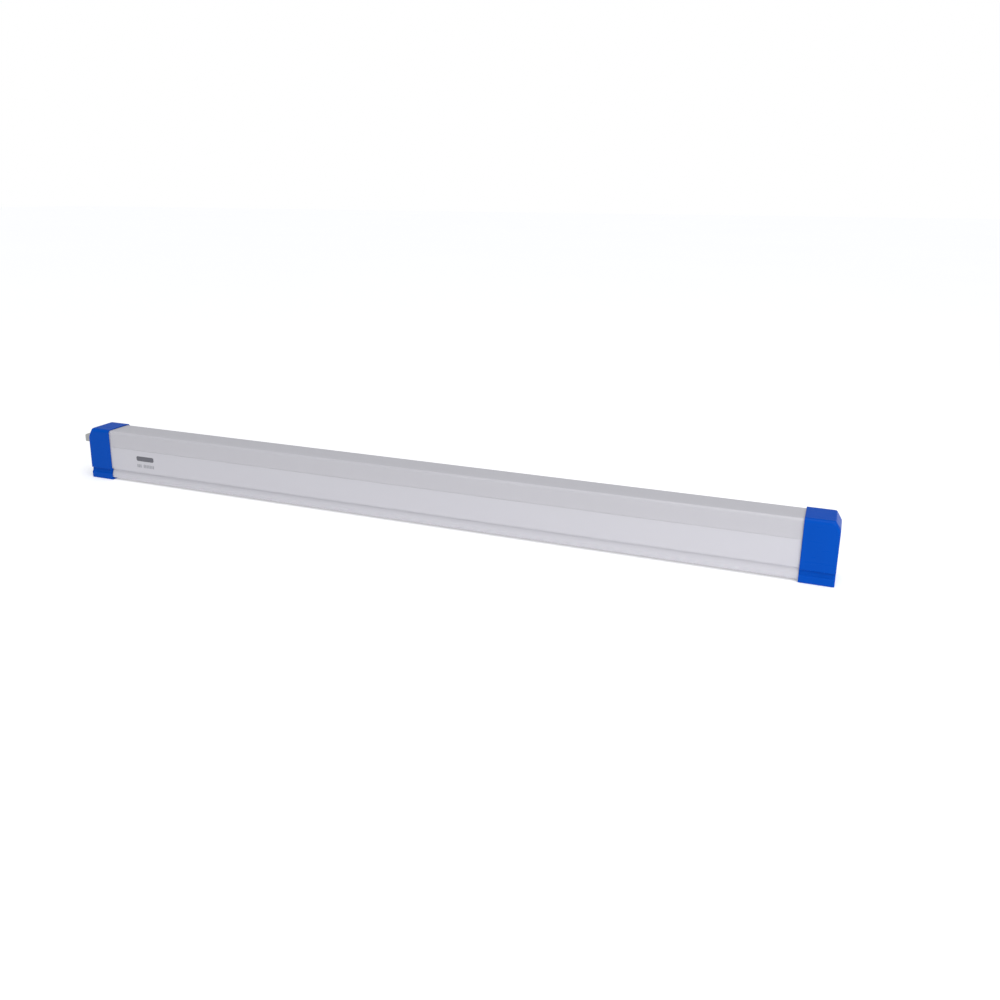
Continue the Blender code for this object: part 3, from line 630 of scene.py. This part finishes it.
def cap_rings(side):
    """Rings of the blue cap, over its outside from the end wall to the rim and back up inside."""
    chamfer = soft_chamfer(*CAP_CHAMFER, CAP_CHAMFER_ROUND, steps=8)
    stations = {distance for distance, _ in chamfer} | set(quarter_stations(CAP_END_ROUND, 8))
    stations |= {0.5 * i for i in range(3, math.ceil(2 * CAP_CORNER_REACH) + 1)}
    rings = []
    for distance in sorted(stations):
        shrink = quarter_drop(distance, CAP_END_ROUND)
        growth = max(0.0, 1 - distance / CAP_CORNER_REACH) ** 2
        corner = CAP_CORNER + (CAP_END_CORNER - CAP_CORNER) * growth
        rings.append((distance, cap_outline(shrink, CAP_TOP - drop_at(chamfer, distance), corner)))
    rim = 0.3
    for distance in quarter_stations(rim, 3)[::-1]:
        pull = quarter_drop(distance, rim)
        outline = cap_outline(pull, CAP_TOP - pull, CAP_CORNER - pull)
        rings.append((CAP_DEPTH - distance, outline))
    lead_in = 0.25
    rings.append((CAP_DEPTH, sleeve_outline(CAP_FIT + lead_in)))
    rings.append((CAP_DEPTH - lead_in, sleeve_outline(CAP_FIT)))
    rings.append((CAP_END_WALL + CAVITY_CHAMFER[0], sleeve_outline(CAP_FIT)))
    rings.append((CAP_END_WALL, sleeve_outline(CAP_FIT, CAVITY_CHAMFER[1])))
    return [across(side * (HALF_LENGTH - distance), outline) for distance, outline in rings]


def mouth_cutter(side, connector_half):
    """The connector's opening through the end wall, with a small chamfer at its outer edge."""
    bevel = 0.35
    steps = []
    for depth, more in ((-1.0, bevel), (0.0, bevel), (bevel, 0.0), (CAP_END_WALL + 1.0, 0.0)):
        steps.append((HALF_LENGTH - depth, connector_half, MOUTH_PLAY + more, CONNECTOR_ROUND + more))
    return ringed("mouth_cutter", connector_rings(side, steps), None)


def inward_turned(side, x, y, profile, sides=32):
    """A turned solid on a screw's axis. profile goes from x towards the lamp's middle."""
    inward = [(-side * distance, radius) for distance, radius in profile]
    return turned("inward", (side * x, y, SCREW_Z), "X", inward, None, sides=sides)


def build_cap(name, side, connector_half):
    """The sleeve, with its screw posts, screw seats and the connector's opening."""
    cap = ringed(name + "_shell", cap_rings(side), CAP_BLUE, sharp=35.0)
    posts, cutters = [], []
    overlap, gap, bevel, outside = 0.5, 0.3, 0.35, 1.0
    root = HALF_LENGTH - CAP_END_WALL + overlap
    length = root - BODY_END - gap
    post = [(0, POST_RADIUS), (length - 0.3, POST_RADIUS), (length, POST_RADIUS - 0.3)]
    hole = [(-outside, SCREW_HOLE), (SCREW_HOLE_DEPTH, SCREW_HOLE)]
    rim = SEAT_RADIUS + bevel
    seat = [(-outside, rim), (0, rim), (bevel, SEAT_RADIUS), (SEAT_DEPTH, SEAT_RADIUS)]
    for y in (-SCREW_Y, SCREW_Y):
        posts.append(inward_turned(side, root, y, post))
        cutters.append(inward_turned(side, HALF_LENGTH, y, hole))
        cutters.append(inward_turned(side, HALF_LENGTH, y, seat, sides=48))
    cut(cap, posts, "UNION")
    cutters.append(mouth_cutter(side, connector_half))
    flatten_shading(cut(cap, cutters))
    place(cap, "cap_blue", name)


def cross_cutters(side, x, y):
    """A cross recess: two crossed wedges that narrow towards the bottom."""
    steps = ((-0.5, 1.62, 0.36), (0.0, 1.62, 0.36), (1.5, 0.55, 0.24))
    level = [(x - side * depth, long_half, thin_half) for depth, long_half, thin_half in steps]
    upright = [(ring_x, thin_half, long_half) for ring_x, long_half, thin_half in level]
    return [ringed("cross", box_rings(wedge, (y, SCREW_Z)), None) for wedge in (level, upright)]


def build_screw(node, side, y):
    """A pan-head tapping screw with a cross recess and a real helical thread."""
    start, length, head_radius = axis_mm(node)
    top_x = start[0] if side < 0 else start[0] + length
    head_height = 1.1
    profile = []
    for i in range(9):
        angle = math.pi / 2 * i / 8
        radius = max(0.02, head_radius * math.sin(angle) ** 0.6)
        profile.append((head_height * 0.8 * (1 - math.cos(angle)), radius))
    profile += [(head_height - 0.05, head_radius), (head_height, head_radius - 0.05)]
    head = inward_turned(side, side * top_x, y, profile, sides=48)
    cut(head, cross_cutters(side, top_x, y))
    shank = thread(side, (top_x, y, SCREW_Z), head_height - 0.01, length)
    bm = bmesh.new()
    for piece in (head, shank):
        bm.from_mesh(piece.data)
        bpy.data.objects.remove(piece, do_unlink=True)
    bmesh.ops.remove_doubles(bm, verts=bm.verts, dist=SAME_POINT * MM)
    mesh = bpy.data.meshes.new(node + "_screw")
    bm.to_mesh(mesh)
    bm.free()
    mesh.set_sharp_from_angle(angle=math.radians(35.0))
    mesh.materials.append(SCREW_STEEL)
    place(add_object(node + "_threaded", mesh), "screw_steel", node)


def thread(side, top, start, length):
    """The screw's shank: rings whose radius follows a helix, tapering to a point."""
    core, crest, pitch, sides = 1.1, 1.45, 1.3, 24
    point_length, blunt, steepness = 2.6, 0.12, 3.2
    steps = math.ceil((length - start) / (pitch / 6))
    rings = []
    for k in range(steps + 1):
        distance = start + (length - start) * k / steps
        taper = min(1.0, (length - distance) / point_length + blunt)
        ring = []
        for i in range(sides):
            angle = 2 * math.pi * i / sides
            phase = (distance / pitch - side * i / sides) % 1.0
            ridge = max(0.0, 1 - abs(phase - 0.5) * steepness)
            radius = (core + (crest - core) * ridge) * taper
            y = top[1] + radius * math.cos(angle)
            z = top[2] + radius * math.sin(angle)
            ring.append((top[0] - side * distance, y, z))
        rings.append(ring)
    return ringed("shank", rings, None)


# ---------------- connectors

INLET_LOW, INLET_HIGH = box_mm("inlet_plug")
OUTLET_LOW, OUTLET_HIGH = box_mm("outlet_socket")
PIN_LOW, PIN_HIGH = box_mm("inlet_pin_neutral")
PLUG_Z = (PIN_LOW.z + PIN_HIGH.z) / 2
PIN_Y = (PIN_LOW.y + PIN_HIGH.y) / 2
PLUG_HALF = (7.0, 3.2)
PLUG_BACK_HALF = (6.0, 2.3)
SHROUD_WALL = (1.0, 1.2)
SHROUD_FLOOR = 2.0
INLET_BACK_WALL = 1.0
PIN_HOLE = 1.0
SOCKET_HALF = (8.0, 4.2)
RECESS_DEPTH = 10.2
RECESS_SPARE = 0.2
CORE_HALF = (5.8, 1.8)
CORE_SETBACK = 1.0
CONNECTOR_ROUND = 1.2
FLANGE_FRONT = HALF_LENGTH - CAP_END_WALL - 0.3
FLANGE_BACK = FLANGE_FRONT - 1.5


def connector_rings(side, steps):
    """steps lists (distance from the lamp's middle, half sizes, their growth, corner radius)."""
    return [across(side * x, rectangle((0, PLUG_Z), *shape)) for x, *shape in steps]


def flange_steps(half, more_y):
    """Steps over the flange that lies behind the cap's end wall."""
    wide = (half[0] + more_y, half[1] + 1.0)
    places = ((FLANGE_FRONT, half), (FLANGE_FRONT, wide), (FLANGE_BACK, wide))
    return [(x, size, 0, CONNECTOR_ROUND) for x, size in places]


def pin_cutters(x, profile):
    """Turned cutters on the two pins' axes, starting at x."""
    return [turned("hole", (x, y, PLUG_Z), "X", profile, None) for y in (-PIN_Y, PIN_Y)]


def build_inlet():
    """The mains inlet: a shroud with rounded lips round two pins."""
    tip = -INLET_LOW.x
    back = -INLET_HIGH.x
    floor = HALF_LENGTH + SHROUD_FLOOR
    hollow = (PLUG_HALF[0] - SHROUD_WALL[0], PLUG_HALF[1] - SHROUD_WALL[1])
    steps = [
        (floor, hollow, 0, 0.7),
        (tip - 0.35, hollow, 0, 0.7),
        (tip - 0.1, hollow, 0.1, 0.8),
        (tip, hollow, 0.35, 0.9),
        (tip, PLUG_HALF, -0.4, 1.0),
        (tip - 0.12, PLUG_HALF, -0.12, 1.1),
        (tip - 0.4, PLUG_HALF, 0, CONNECTOR_ROUND),
        *flange_steps(PLUG_HALF, 1.3),
        (FLANGE_BACK, PLUG_BACK_HALF, 0, 1.0),
        (back, PLUG_BACK_HALF, 0, 1.0),
    ]
    inlet = ringed("inlet_shroud", connector_rings(-1, steps), CONNECTOR_GREY, sharp=50.0)
    blind_end = back + INLET_BACK_WALL
    hole = [(0, PIN_HOLE), (floor + 1 - blind_end, PIN_HOLE)]
    flatten_shading(cut(inlet, pin_cutters(-floor - 1, hole)))
    place(inlet, "connector_grey", "inlet_plug")


def build_pin(node):
    """A drawn brass pin with a rounded nose and a shallow crimp ring near its foot."""
    start, length, radius = axis_mm(node)
    angles = [math.pi / 2 * i / 8 for i in range(1, 9)]
    profile = [(radius * (1 - math.cos(angle)), radius * math.sin(angle)) for angle in angles]
    profile += [(length - 2.4, radius), (length - 2.2, radius - 0.12), (length - 1.6, radius - 0.12)]
    profile += [(length - 1.4, radius), (length - 0.1, radius), (length, radius - 0.1)]
    pin = turned(node + "_turned", start, "X", profile, PIN_BRASS)
    place(pin, "pin_brass", node)


def build_outlet():
    """The outlet: a recess round a core, whose two holes hold the contact sleeves."""
    face = OUTLET_HIGH.x
    back = OUTLET_LOW.x
    floor = HALF_LENGTH - RECESS_DEPTH
    core_face = HALF_LENGTH - CORE_SETBACK
    steps = [
        (core_face, CORE_HALF, -0.25, 0.5),
        (core_face - 0.25, CORE_HALF, 0, 0.7),
        (floor, CORE_HALF, 0, 0.7),
        (floor, PLUG_HALF, RECESS_SPARE, 1.2),
        (face - 0.3, PLUG_HALF, RECESS_SPARE, 1.2),
        (face, PLUG_HALF, RECESS_SPARE + 0.3, 1.3),
        (face, SOCKET_HALF, -0.2, 1.1),
        (face - 0.2, SOCKET_HALF, 0, CONNECTOR_ROUND),
        *flange_steps(SOCKET_HALF, 1.4),
        (FLANGE_BACK, SOCKET_HALF, 0, CONNECTOR_ROUND),
        (back, SOCKET_HALF, 0, CONNECTOR_ROUND),
    ]
    outlet = ringed("outlet_body", connector_rings(1, steps), CONNECTOR_GREY, sharp=50.0)
    hole = [(0, 1.6), (-1.0, 1.6), (-2.35, 1.3), (-14.0, 1.3)]
    flatten_shading(cut(outlet, pin_cutters(core_face + 1, hole)))
    place(outlet, "connector_grey", "outlet_socket")


def build_contact(node):
    """A rolled brass sleeve: a tube with a lead-in and two spring slots."""
    start, length, radius = axis_mm(node)
    mouth = start[0] + length
    wall, slot_half, slot_depth = 0.25, 0.14, 5.0
    bore = radius - wall
    profile = [
        (0.5, bore),
        (length - 0.3, bore),
        (length, bore + 0.1),
        (length, radius - 0.05),
        (length - 0.15, radius),
        (0, radius),
    ]
    sleeve = turned(node + "_sleeve", start, "X", profile, PIN_BRASS, sharp=50.0)
    slots = []
    for half_y, half_z in ((slot_half, radius + 0.5), (radius + 0.5, slot_half)):
        slot = [(mouth + 0.5, half_y, half_z), (mouth - slot_depth, half_y, half_z)]
        slots.append(ringed("slot", box_rings(slot, start[1:]), None))
    cut(sleeve, slots)
    place(sleeve, "pin_brass", node)


# ---------------- LED board

LED_COUNT = 48
LED_PITCH = 12.0
LED_HALF = (1.75, 1.4)
PAD_HALF = 1.2
PAD_REACH = (1.5, 2.35)  # from the package's middle to a solder pad's two ends


def add_block(bm, low, high, bevel):
    """A box with rounded edges."""
    low, high = Vector(low), Vector(high)
    verts = bmesh.ops.create_cube(bm, size=1.0)["verts"]
    bmesh.ops.scale(bm, vec=high - low, verts=verts)
    bmesh.ops.translate(bm, vec=(low + high) / 2, verts=verts)
    edges = list({edge for vert in verts for edge in vert.link_edges})
    bmesh.ops.bevel(bm, geom=edges, offset=bevel, segments=2, profile=0.5, affect="EDGES")


def blocks(name, boxes, material, bevel):
    bm = bmesh.new()
    for low, high in boxes:
        add_block(bm, low, high, bevel)
    return finish_mesh(name, bm, material)


def level_ring(centre, z, half, more, corner, steps=3):
    """A horizontal rounded rectangle of points."""
    return [(x, y, z) for x, y in rectangle(centre, half, more, corner, steps)]


def build_led_board():
    """An aluminium strip under white solder mask, with soldered LED packages along it."""
    end, half = BOARD_HIGH.x, BOARD_HIGH.y
    mask_bottom = BOARD_FACE - 0.15
    core_box = ((-end, -half, BOARD_LOW.z), (end, half, mask_bottom))
    core = blocks("led_board_core", [core_box], CORE_ALUMINIUM, 0.06)
    place(core, "led_board_white", "led_board")
    mask_box = ((-end, -half, mask_bottom), (end, half, BOARD_FACE))
    place(blocks("led_board_mask", [mask_box], MASK_WHITE, 0.04), "led_board_white")
    packages, lenses, pads = bmesh.new(), bmesh.new(), []
    for i in range(LED_COUNT):
        x = (i - (LED_COUNT - 1) / 2) * LED_PITCH
        add_package(packages, lenses, x)
        for side in (-1, 1):
            low_x, high_x = sorted(x + side * reach for reach in PAD_REACH)
            pads.append(((low_x, -PAD_HALF, BOARD_FACE), (high_x, PAD_HALF, BOARD_FACE + 0.14)))
    place(finish_mesh("led_packages", packages, PACKAGE_WHITE), "led_board_white")
    place(finish_mesh("led_phosphor", lenses, PHOSPHOR_YELLOW), "led_board_white")
    place(blocks("led_solder", pads, TINNED_WIRE, 0.05), "led_board_white")


def add_package(packages, lenses, x):
    """A moulded frame with a sloping well, filled with a slightly domed phosphor."""
    well = (LED_HALF[0] - 0.35, LED_HALF[1] - 0.3)
    moulding = (
        (0.03, LED_HALF, 0, 0.1),
        (LED_HEIGHT - 0.05, LED_HALF, -0.03, 0.1),
        (LED_HEIGHT, LED_HALF, -0.08, 0.1),
        (LED_HEIGHT, well, 0, 0.3),
        (0.35, well, -0.15, 0.3),
    )
    dome = (
        (0.36, well, -0.17, 0.28),
        (0.70, well, -0.03, 0.3),
        (0.755, well, -0.2, 0.3),
        (0.78, well, -0.5, 0.2),
    )
    for bm, steps in ((packages, moulding), (lenses, dome)):
        add_tube(bm, [level_ring((x, 0), BOARD_FACE + z, *shape) for z, *shape in steps])


# ---------------- driver

DRIVER_BOARD_TOP = box_mm("driver_board")[1].z
LEAD_RADIUS = 0.3
LEAD_BEND = 0.8
LEG_HALF = (0.2, 0.09)
LEAD_SOLDER = 0.7
WIRE_SOLDER = 1.1
LED_WIRE_ENDS = (-179.5, -284.5)  # at the driver board and at the LED board


def repaint(material, *nodes):
    """Give solids that keep their shape their finished material."""
    for node in nodes:
        for slot in NODES[node].material_slots:
            slot.material = material


def add_lead(bm, points):
    """A round lead through points that lie in one XZ plane."""
    spots = [Vector(point) for point in points]
    side = Vector((0, LEAD_RADIUS, 0))
    turns = [2 * math.pi * k / 12 for k in range(12)]
    rings = []
    for i, spot in enumerate(spots):
        before, after = spots[max(i - 1, 0)], spots[min(i + 1, len(spots) - 1)]
        up = (after - before).normalized().cross(side)
        rings.append([tuple(spot + side * math.cos(turn) + up * math.sin(turn)) for turn in turns])
    add_tube(bm, rings)


def place_tinned(name, bm):
    place(finish_mesh(name, bm, TINNED_WIRE), "screw_steel")


def add_solder(bm, x, y, surface, radius):
    """A solder cone on a board, hollow-sided as wetted solder is."""
    steps = ((0.0, 1.0), (0.12, 0.72), (0.32, 0.5), (0.55, 0.42), (0.62, 0.1))
    profile = [(height, radius * share) for height, share in steps]
    add_tube(bm, turn_rings((x, y, surface), "Z", profile, 16))


def build_leads(node, spots):
    """Short tinned leads from the underside of a standing component into the board."""
    reach = box_mm(node)[0].z + 0.4 - DRIVER_BOARD_TOP
    shares = ((0, 2.4), (0.12, 1.5), (0.25, 1.0), (reach, 1.0))
    profile = [(height, LEAD_RADIUS * share) for height, share in shares]
    bm = bmesh.new()
    for x, y in spots:
        add_tube(bm, turn_rings((x, y, DRIVER_BOARD_TOP), "Z", profile, 16))
    place_tinned(node + "_leads", bm)


def build_end_leads(node, ends):
    """Leads that leave a lying component level and turn down. ends lists (x, direction, y, z)."""
    sunk, straight = 0.3, 0.6
    bm = bmesh.new()
    for x, direction, y, z in ends:
        points = [(x - direction * sunk, y, z), (x + direction * straight, y, z)]
        for i in range(1, 7):
            angle = math.pi / 2 * i / 6
            reach = straight + LEAD_BEND * math.sin(angle)
            points.append((x + direction * reach, y, z - LEAD_BEND * (1 - math.cos(angle))))
        foot_x = points[-1][0]
        add_lead(bm, points + [(foot_x, y, DRIVER_BOARD_TOP)])
        add_solder(bm, foot_x, y, DRIVER_BOARD_TOP, LEAD_SOLDER)
    place_tinned(node + "_leads", bm)


def build_chip_legs(node, count, pitch):
    """Gull-wing legs along both long sides of a moulded package."""
    low, high = box_mm(node)
    middle = (low + high) / 2
    bm = bmesh.new()
    foot_z = DRIVER_BOARD_TOP + 0.12
    for side in (-1, 1):
        y = middle.y + side * (high.y - low.y) / 2
        path = [(-0.2, middle.z), (0.35, middle.z), (0.55, foot_z), (1.15, foot_z)]
        for i in range(count):
            leg_x = middle.x + (i - (count - 1) / 2) * pitch
            rings = []
            for out, leg_z in path:
                section = rectangle((leg_x, leg_z), LEG_HALF)
                rings.append([(x, y + side * out, z) for x, z in section])
            add_tube(bm, rings)
    place_tinned(node + "_legs", bm)


def build_fuse_resistor():
    """A lacquered body with thicker ends, four colour bands and two bent leads."""
    start, length, thick = axis_mm("fuse_resistor")
    x, y, z = start
    thin = thick - 0.25
    end = [(0, 0.5), (0.05, thick - 0.5), (0.2, thick - 0.2), (0.55, thick), (1.5, thick), (2.1, thin)]
    profile = end + [(length - d, r) for d, r in reversed(end)]
    body = turned("fuse_resistor_body", start, "X", profile, LACQUER_GREEN)
    place(body, "resistor_green", "fuse_resistor")
    places = ((0.9, thick), (2.7, thin), (4.0, thin), (5.3, thin))
    materials = (PVC_BROWN, CHIP_EPOXY, EPOXY_RED, PIN_BRASS)
    for number, ((near, radius), material) in enumerate(zip(places, materials), start=1):
        far, sunk, film = near + 0.5, radius - 0.1, radius + 0.03
        ring = [(near, sunk), (near, film), (far, film), (far, sunk)]
        band = turned(f"fuse_resistor_band_{number}", start, "X", ring, material)
        place(band, "resistor_green")
    build_end_leads("fuse_resistor", [(x, -1, y, z), (x + length, 1, y, z)])


def build_varistor():
    """A dipped disc on edge, with rounded rims."""
    start, thick, radius = axis_mm("varistor")
    edge = thick / 2
    profile = [(0.0, radius * 0.4), (0.12, radius * 0.75)]
    for i in range(9):
        angle = math.pi * (0.12 + 0.76 * i / 8)
        pull = edge * 0.6 * (1 - math.sin(angle))
        profile.append((edge - (edge - 0.1) * math.cos(angle), radius - pull))
    profile += [(thick - 0.12, radius * 0.75), (thick, radius * 0.4)]
    body = turned("varistor_disc", start, "X", profile, EPOXY_BLUE, sides=48)
    place(body, "varistor_blue", "varistor")
    x, y, _ = start
    build_leads("varistor", [(x + 1.0, y - 1.2), (x + thick - 1.0, y + 1.2)])


def build_film_capacitor():
    """A dipped block whose corners are well rounded."""
    low, high = box_mm("film_capacitor")
    block = blocks("film_capacitor_block", [(low, high)], EPOXY_RED, 1.1)
    place(block, "film_red", "film_capacitor")
    y = (low.y + high.y) / 2
    build_leads("film_capacitor", [(low.x + 1.4, y), (high.x - 1.4, y)])


def build_choke():
    """A ferrite drum with layers of copper wire between its flanges."""
    low, high = box_mm("filter_choke")
    centre = ((low.x + high.x) / 2, (low.y + high.y) / 2, low.z)
    height, radius = high.z - low.z, (high.x - low.x) / 2
    flange, core, wire = 1.2, radius - 1.6, 0.4
    drum = [(0, radius - 0.2), (0.2, radius), (flange - 0.1, radius)]
    drum += [(flange, radius - 0.1), (flange, core)]
    drum += [(height - d, r) for d, r in reversed(drum)]
    body = turned("filter_choke_drum", centre, "Z", drum, FERRITE_GREY, sides=40)
    place(body, "ferrite_grey", "filter_choke")
    bottom, inner, outer = flange + 0.05, core - 0.1, radius - 0.55
    turns = int((height - 2 * bottom) / wire)
    profile = [(bottom, inner)]
    for i in range(turns):
        for k in range(1, 6):
            angle = math.pi * k / 6
            distance = bottom + wire * (i + 0.5 - 0.5 * math.cos(angle))
            profile.append((distance, outer - wire / 2 * (1 - math.sin(angle))))
    profile.append((bottom + wire * turns, inner))
    winding = turned("filter_choke_winding", centre, "Z", profile, COPPER_WIRE, sides=40, sharp=60.0)
    place(winding, "winding_copper")
    build_leads("filter_choke", [(centre[0], centre[1] - 2.0), (centre[0], centre[1] + 2.0)])


def build_capacitor(node):
    """A lying electrolytic: a sleeved can with a crimp, a scored end and a rubber bung."""
    start, length, radius = axis_mm(node)
    x, y, z = start
    sleeve = [(0.05, radius - 0.9), (0.05, radius - 0.35), (0.2, radius - 0.08), (0.45, radius)]
    for i in range(13):
        angle = 2 * math.pi * i / 12
        sleeve.append((1.5 + 1.8 * i / 12, radius - 0.28 * (1 - math.cos(angle))))
    sleeve += [(length - 0.45, radius), (length - 0.15, radius - 0.12), (length, radius - 0.45)]
    sleeve += [(length, radius - 1.0), (length - 0.2, radius - 1.05)]
    jacket = turned(node + "_jacket", start, "X", sleeve, SLEEVE_BLACK, sides=48)
    place(jacket, "sleeve_black", node)
    end_x = x + length - 0.19
    disc = [(0, radius - 1.04), (0.12, radius - 1.1)]
    top = turned(node + "_can_end", (end_x, y, z), "X", disc, CORE_ALUMINIUM)
    scores = []
    for half_y, half_z in ((2.2, 0.1), (0.1, 2.2)):
        score = [(end_x + 0.06, half_y, half_z), (end_x + 1.0, half_y, half_z)]
        scores.append(ringed("score", box_rings(score, (y, z)), None))
    place(cut(top, scores), "sleeve_black")
    bung = [(-0.1, 0.6), (-0.1, radius - 1.3), (0.04, radius - 1.0), (0.2, radius - 1.0)]
    place(turned(node + "_bung", start, "X", bung, RUBBER_BLACK), "sleeve_black")
    build_end_leads(node, [(x, -1, y + side * 1.5, z) for side in (-1, 1)])


def build_coil():
    """The taped coil round the ferrite's middle leg."""
    low, high = box_mm("inductor_coil")
    centre = (low + high).xy / 2
    half = (high - low).xy / 2
    hole, soft = (1.5, 2.7), 0.25
    steps = [
        (low.z + soft, half, 0, 1.3),
        (high.z - soft, half, 0, 1.3),
        (high.z, half, -soft, 1.1),
        (high.z, hole, 0, 0.2),
        (low.z, hole, 0, 0.2),
        (low.z, half, -soft, 1.1),
        (low.z + soft, half, 0, 1.3),
    ]
    bm = bmesh.new()
    add_tube(bm, [level_ring(centre, *step, steps=6) for step in steps], closed_ends=False)
    place(finish_mesh("inductor_coil_taped", bm, TAPE_YELLOW), "tape_yellow", "inductor_coil")
    core_low, core_high = box_mm("inductor_core")
    lead_xs = (core_low.x + 1.3, core_high.x - 1.3)
    build_leads("inductor_core", [(lead_x, lead_y) for lead_x in lead_xs for lead_y in (-1.3, 1.3)])


def build_wire_joints():
    """Solder where the supply and LED wires meet the two boards."""
    bm = bmesh.new()
    # (x, half the gap between the pair of wires, the board's face)
    joints = (
        (box_mm("supply_wire_live")[1].x, 4.2, DRIVER_BOARD_TOP),
        (LED_WIRE_ENDS[0], 4.5, DRIVER_BOARD_TOP),
        (LED_WIRE_ENDS[1], 4.6, BOARD_FACE),
    )
    for x, half_gap, surface in joints:
        for y in (-half_gap, half_gap):
            add_solder(bm, x, y, surface, WIRE_SOLDER)
    place_tinned("wire_solder", bm)


def build_driver():
    repaint(TRAY_NATURAL, "driver_tray")
    repaint(MASK_GREEN, "driver_board")
    repaint(CHIP_EPOXY, "bridge_rectifier", "driver_chip", "output_diode")
    repaint(FERRITE_GREY, "inductor_core")
    repaint(PVC_BROWN, "supply_wire_live", "through_wire_live")
    repaint(PVC_BLUE, "supply_wire_neutral", "through_wire_neutral")
    repaint(PVC_RED, "led_wire_positive")
    repaint(PVC_BLACK, "led_wire_negative")
    build_chip_legs("bridge_rectifier", 2, 2.5)
    build_chip_legs("driver_chip", 4, 1.27)
    build_chip_legs("output_diode", 1, 1.0)
    build_fuse_resistor()
    build_varistor()
    build_film_capacitor()
    build_choke()
    build_capacitor("input_capacitor")
    build_capacitor("output_capacitor")
    build_coil()
    build_wire_joints()


# ---------------- stage, lights and camera


def aim_light(name, data, spot, target):
    lamp = add_object(name, data)
    lamp.location = spot
    lamp.rotation_euler = (Vector(target) - Vector(spot)).to_track_quat("-Z", "Y").to_euler()


def build_lights():
    """A very soft key from high in front, and a smaller softbox near the lamp's right end."""
    key = bpy.data.lights.new("key_light", "SUN")
    key.energy = 1.50
    key.angle = math.radians(50.0)
    aim_light("key_light", key, (0.6, -0.9, 4.0), (0.0, 0.0, 0.0))
    softbox = bpy.data.lights.new("softbox", "AREA")
    softbox.shape = "RECTANGLE"
    softbox.size, softbox.size_y = 0.7, 0.5
    softbox.energy = 4.0
    aim_light("softbox", softbox, (0.75, -0.70, 0.50), (0.3, 0.0, 0.02))


def build_floor():
    """A plain pale floor that glows a little, as paper does under its own studio light."""
    half = 9.0
    bm = bmesh.new()
    corners = ((-half, -half), (half, -half), (half, half), (-half, half))
    bm.faces.new([bm.verts.new((x / MM, y / MM, FLOOR_Z)) for x, y in corners])
    recipe = Recipe("floor_paper", (0.90, 0.90, 0.90), 0.9, specular=0.1)
    recipe.vary_colour(recipe.noise(1.5, detail=2.0), 0.995, 1.005)
    recipe.shader.inputs["Emission Color"].default_value = (1.0, 1.0, 1.0, 1.0)
    recipe.shader.inputs["Emission Strength"].default_value = 0.24
    finish_mesh("floor", bm, recipe.material)


def build_world():
    """Even grey studio light, in front of a white backdrop."""
    scene = bpy.context.scene
    world = bpy.data.worlds.new("studio")
    world.use_nodes = True
    scene.world = world
    tree = world.node_tree
    room = tree.nodes["Background"]
    room.inputs["Color"].default_value = (0.94, 0.96, 1.0, 1.0)
    room.inputs["Strength"].default_value = 0.405
    backdrop = tree.nodes.new("ShaderNodeBackground")
    backdrop.inputs["Color"].default_value = (1.0, 1.0, 1.0, 1.0)
    backdrop.inputs["Strength"].default_value = 1.0
    path = tree.nodes.new("ShaderNodeLightPath")
    mix = tree.nodes.new("ShaderNodeMixShader")
    tree.links.new(path.outputs["Is Camera Ray"], mix.inputs["Fac"])
    tree.links.new(room.outputs["Background"], mix.inputs[1])
    tree.links.new(backdrop.outputs["Background"], mix.inputs[2])
    tree.links.new(mix.outputs["Shader"], tree.nodes["World Output"].inputs["Surface"])
    scene.view_settings.view_transform = "Standard"
    scene.view_settings.look = "None"


def build_camera():
    """A 34 mm lens in front of the lamp's right end, turned left and tipped down."""
    yaw, pitch, roll = math.radians(22.657), math.radians(16.013), math.radians(-0.238)
    ahead = Vector((-math.sin(yaw), math.cos(yaw), 0))
    forward = ahead * math.cos(pitch) - Vector((0, 0, math.sin(pitch)))
    level = Vector((math.cos(yaw), math.sin(yaw), 0))
    down = forward.cross(level)
    right = level * math.cos(roll) + down * math.sin(roll)
    up = level * math.sin(roll) - down * math.cos(roll)
    data = bpy.data.cameras.new("camera")
    data.sensor_width = 36.0
    data.lens = 33.965
    data.shift_x = 0.04634
    data.shift_y = -0.04151
    data.clip_start = 0.01
    camera = add_object("camera", data)
    rotation = Matrix((right, up, -forward)).transposed().to_4x4()
    camera.matrix_world = Matrix.Translation((0.28989, -0.61434, 0.24037)) @ rotation
    bpy.context.scene.camera = camera


# ---------------- assembly


def main():
    build_camera()
    build_floor()
    build_world()
    build_lights()
    build_housing()
    build_diffuser()
    build_prints()
    build_cap("end_cap_left", -1, PLUG_HALF)
    build_cap("end_cap_right", 1, SOCKET_HALF)
    for place_word, side in (("left", -1), ("right", 1)):
        for word, y in (("front", -SCREW_Y), ("back", SCREW_Y)):
            build_screw(f"cap_screw_{place_word}_{word}", side, y)
    build_inlet()
    build_outlet()
    for word in ("live", "neutral"):
        build_pin(f"inlet_pin_{word}")
        build_contact(f"outlet_contact_{word}")
    build_led_board()
    build_driver()


main()
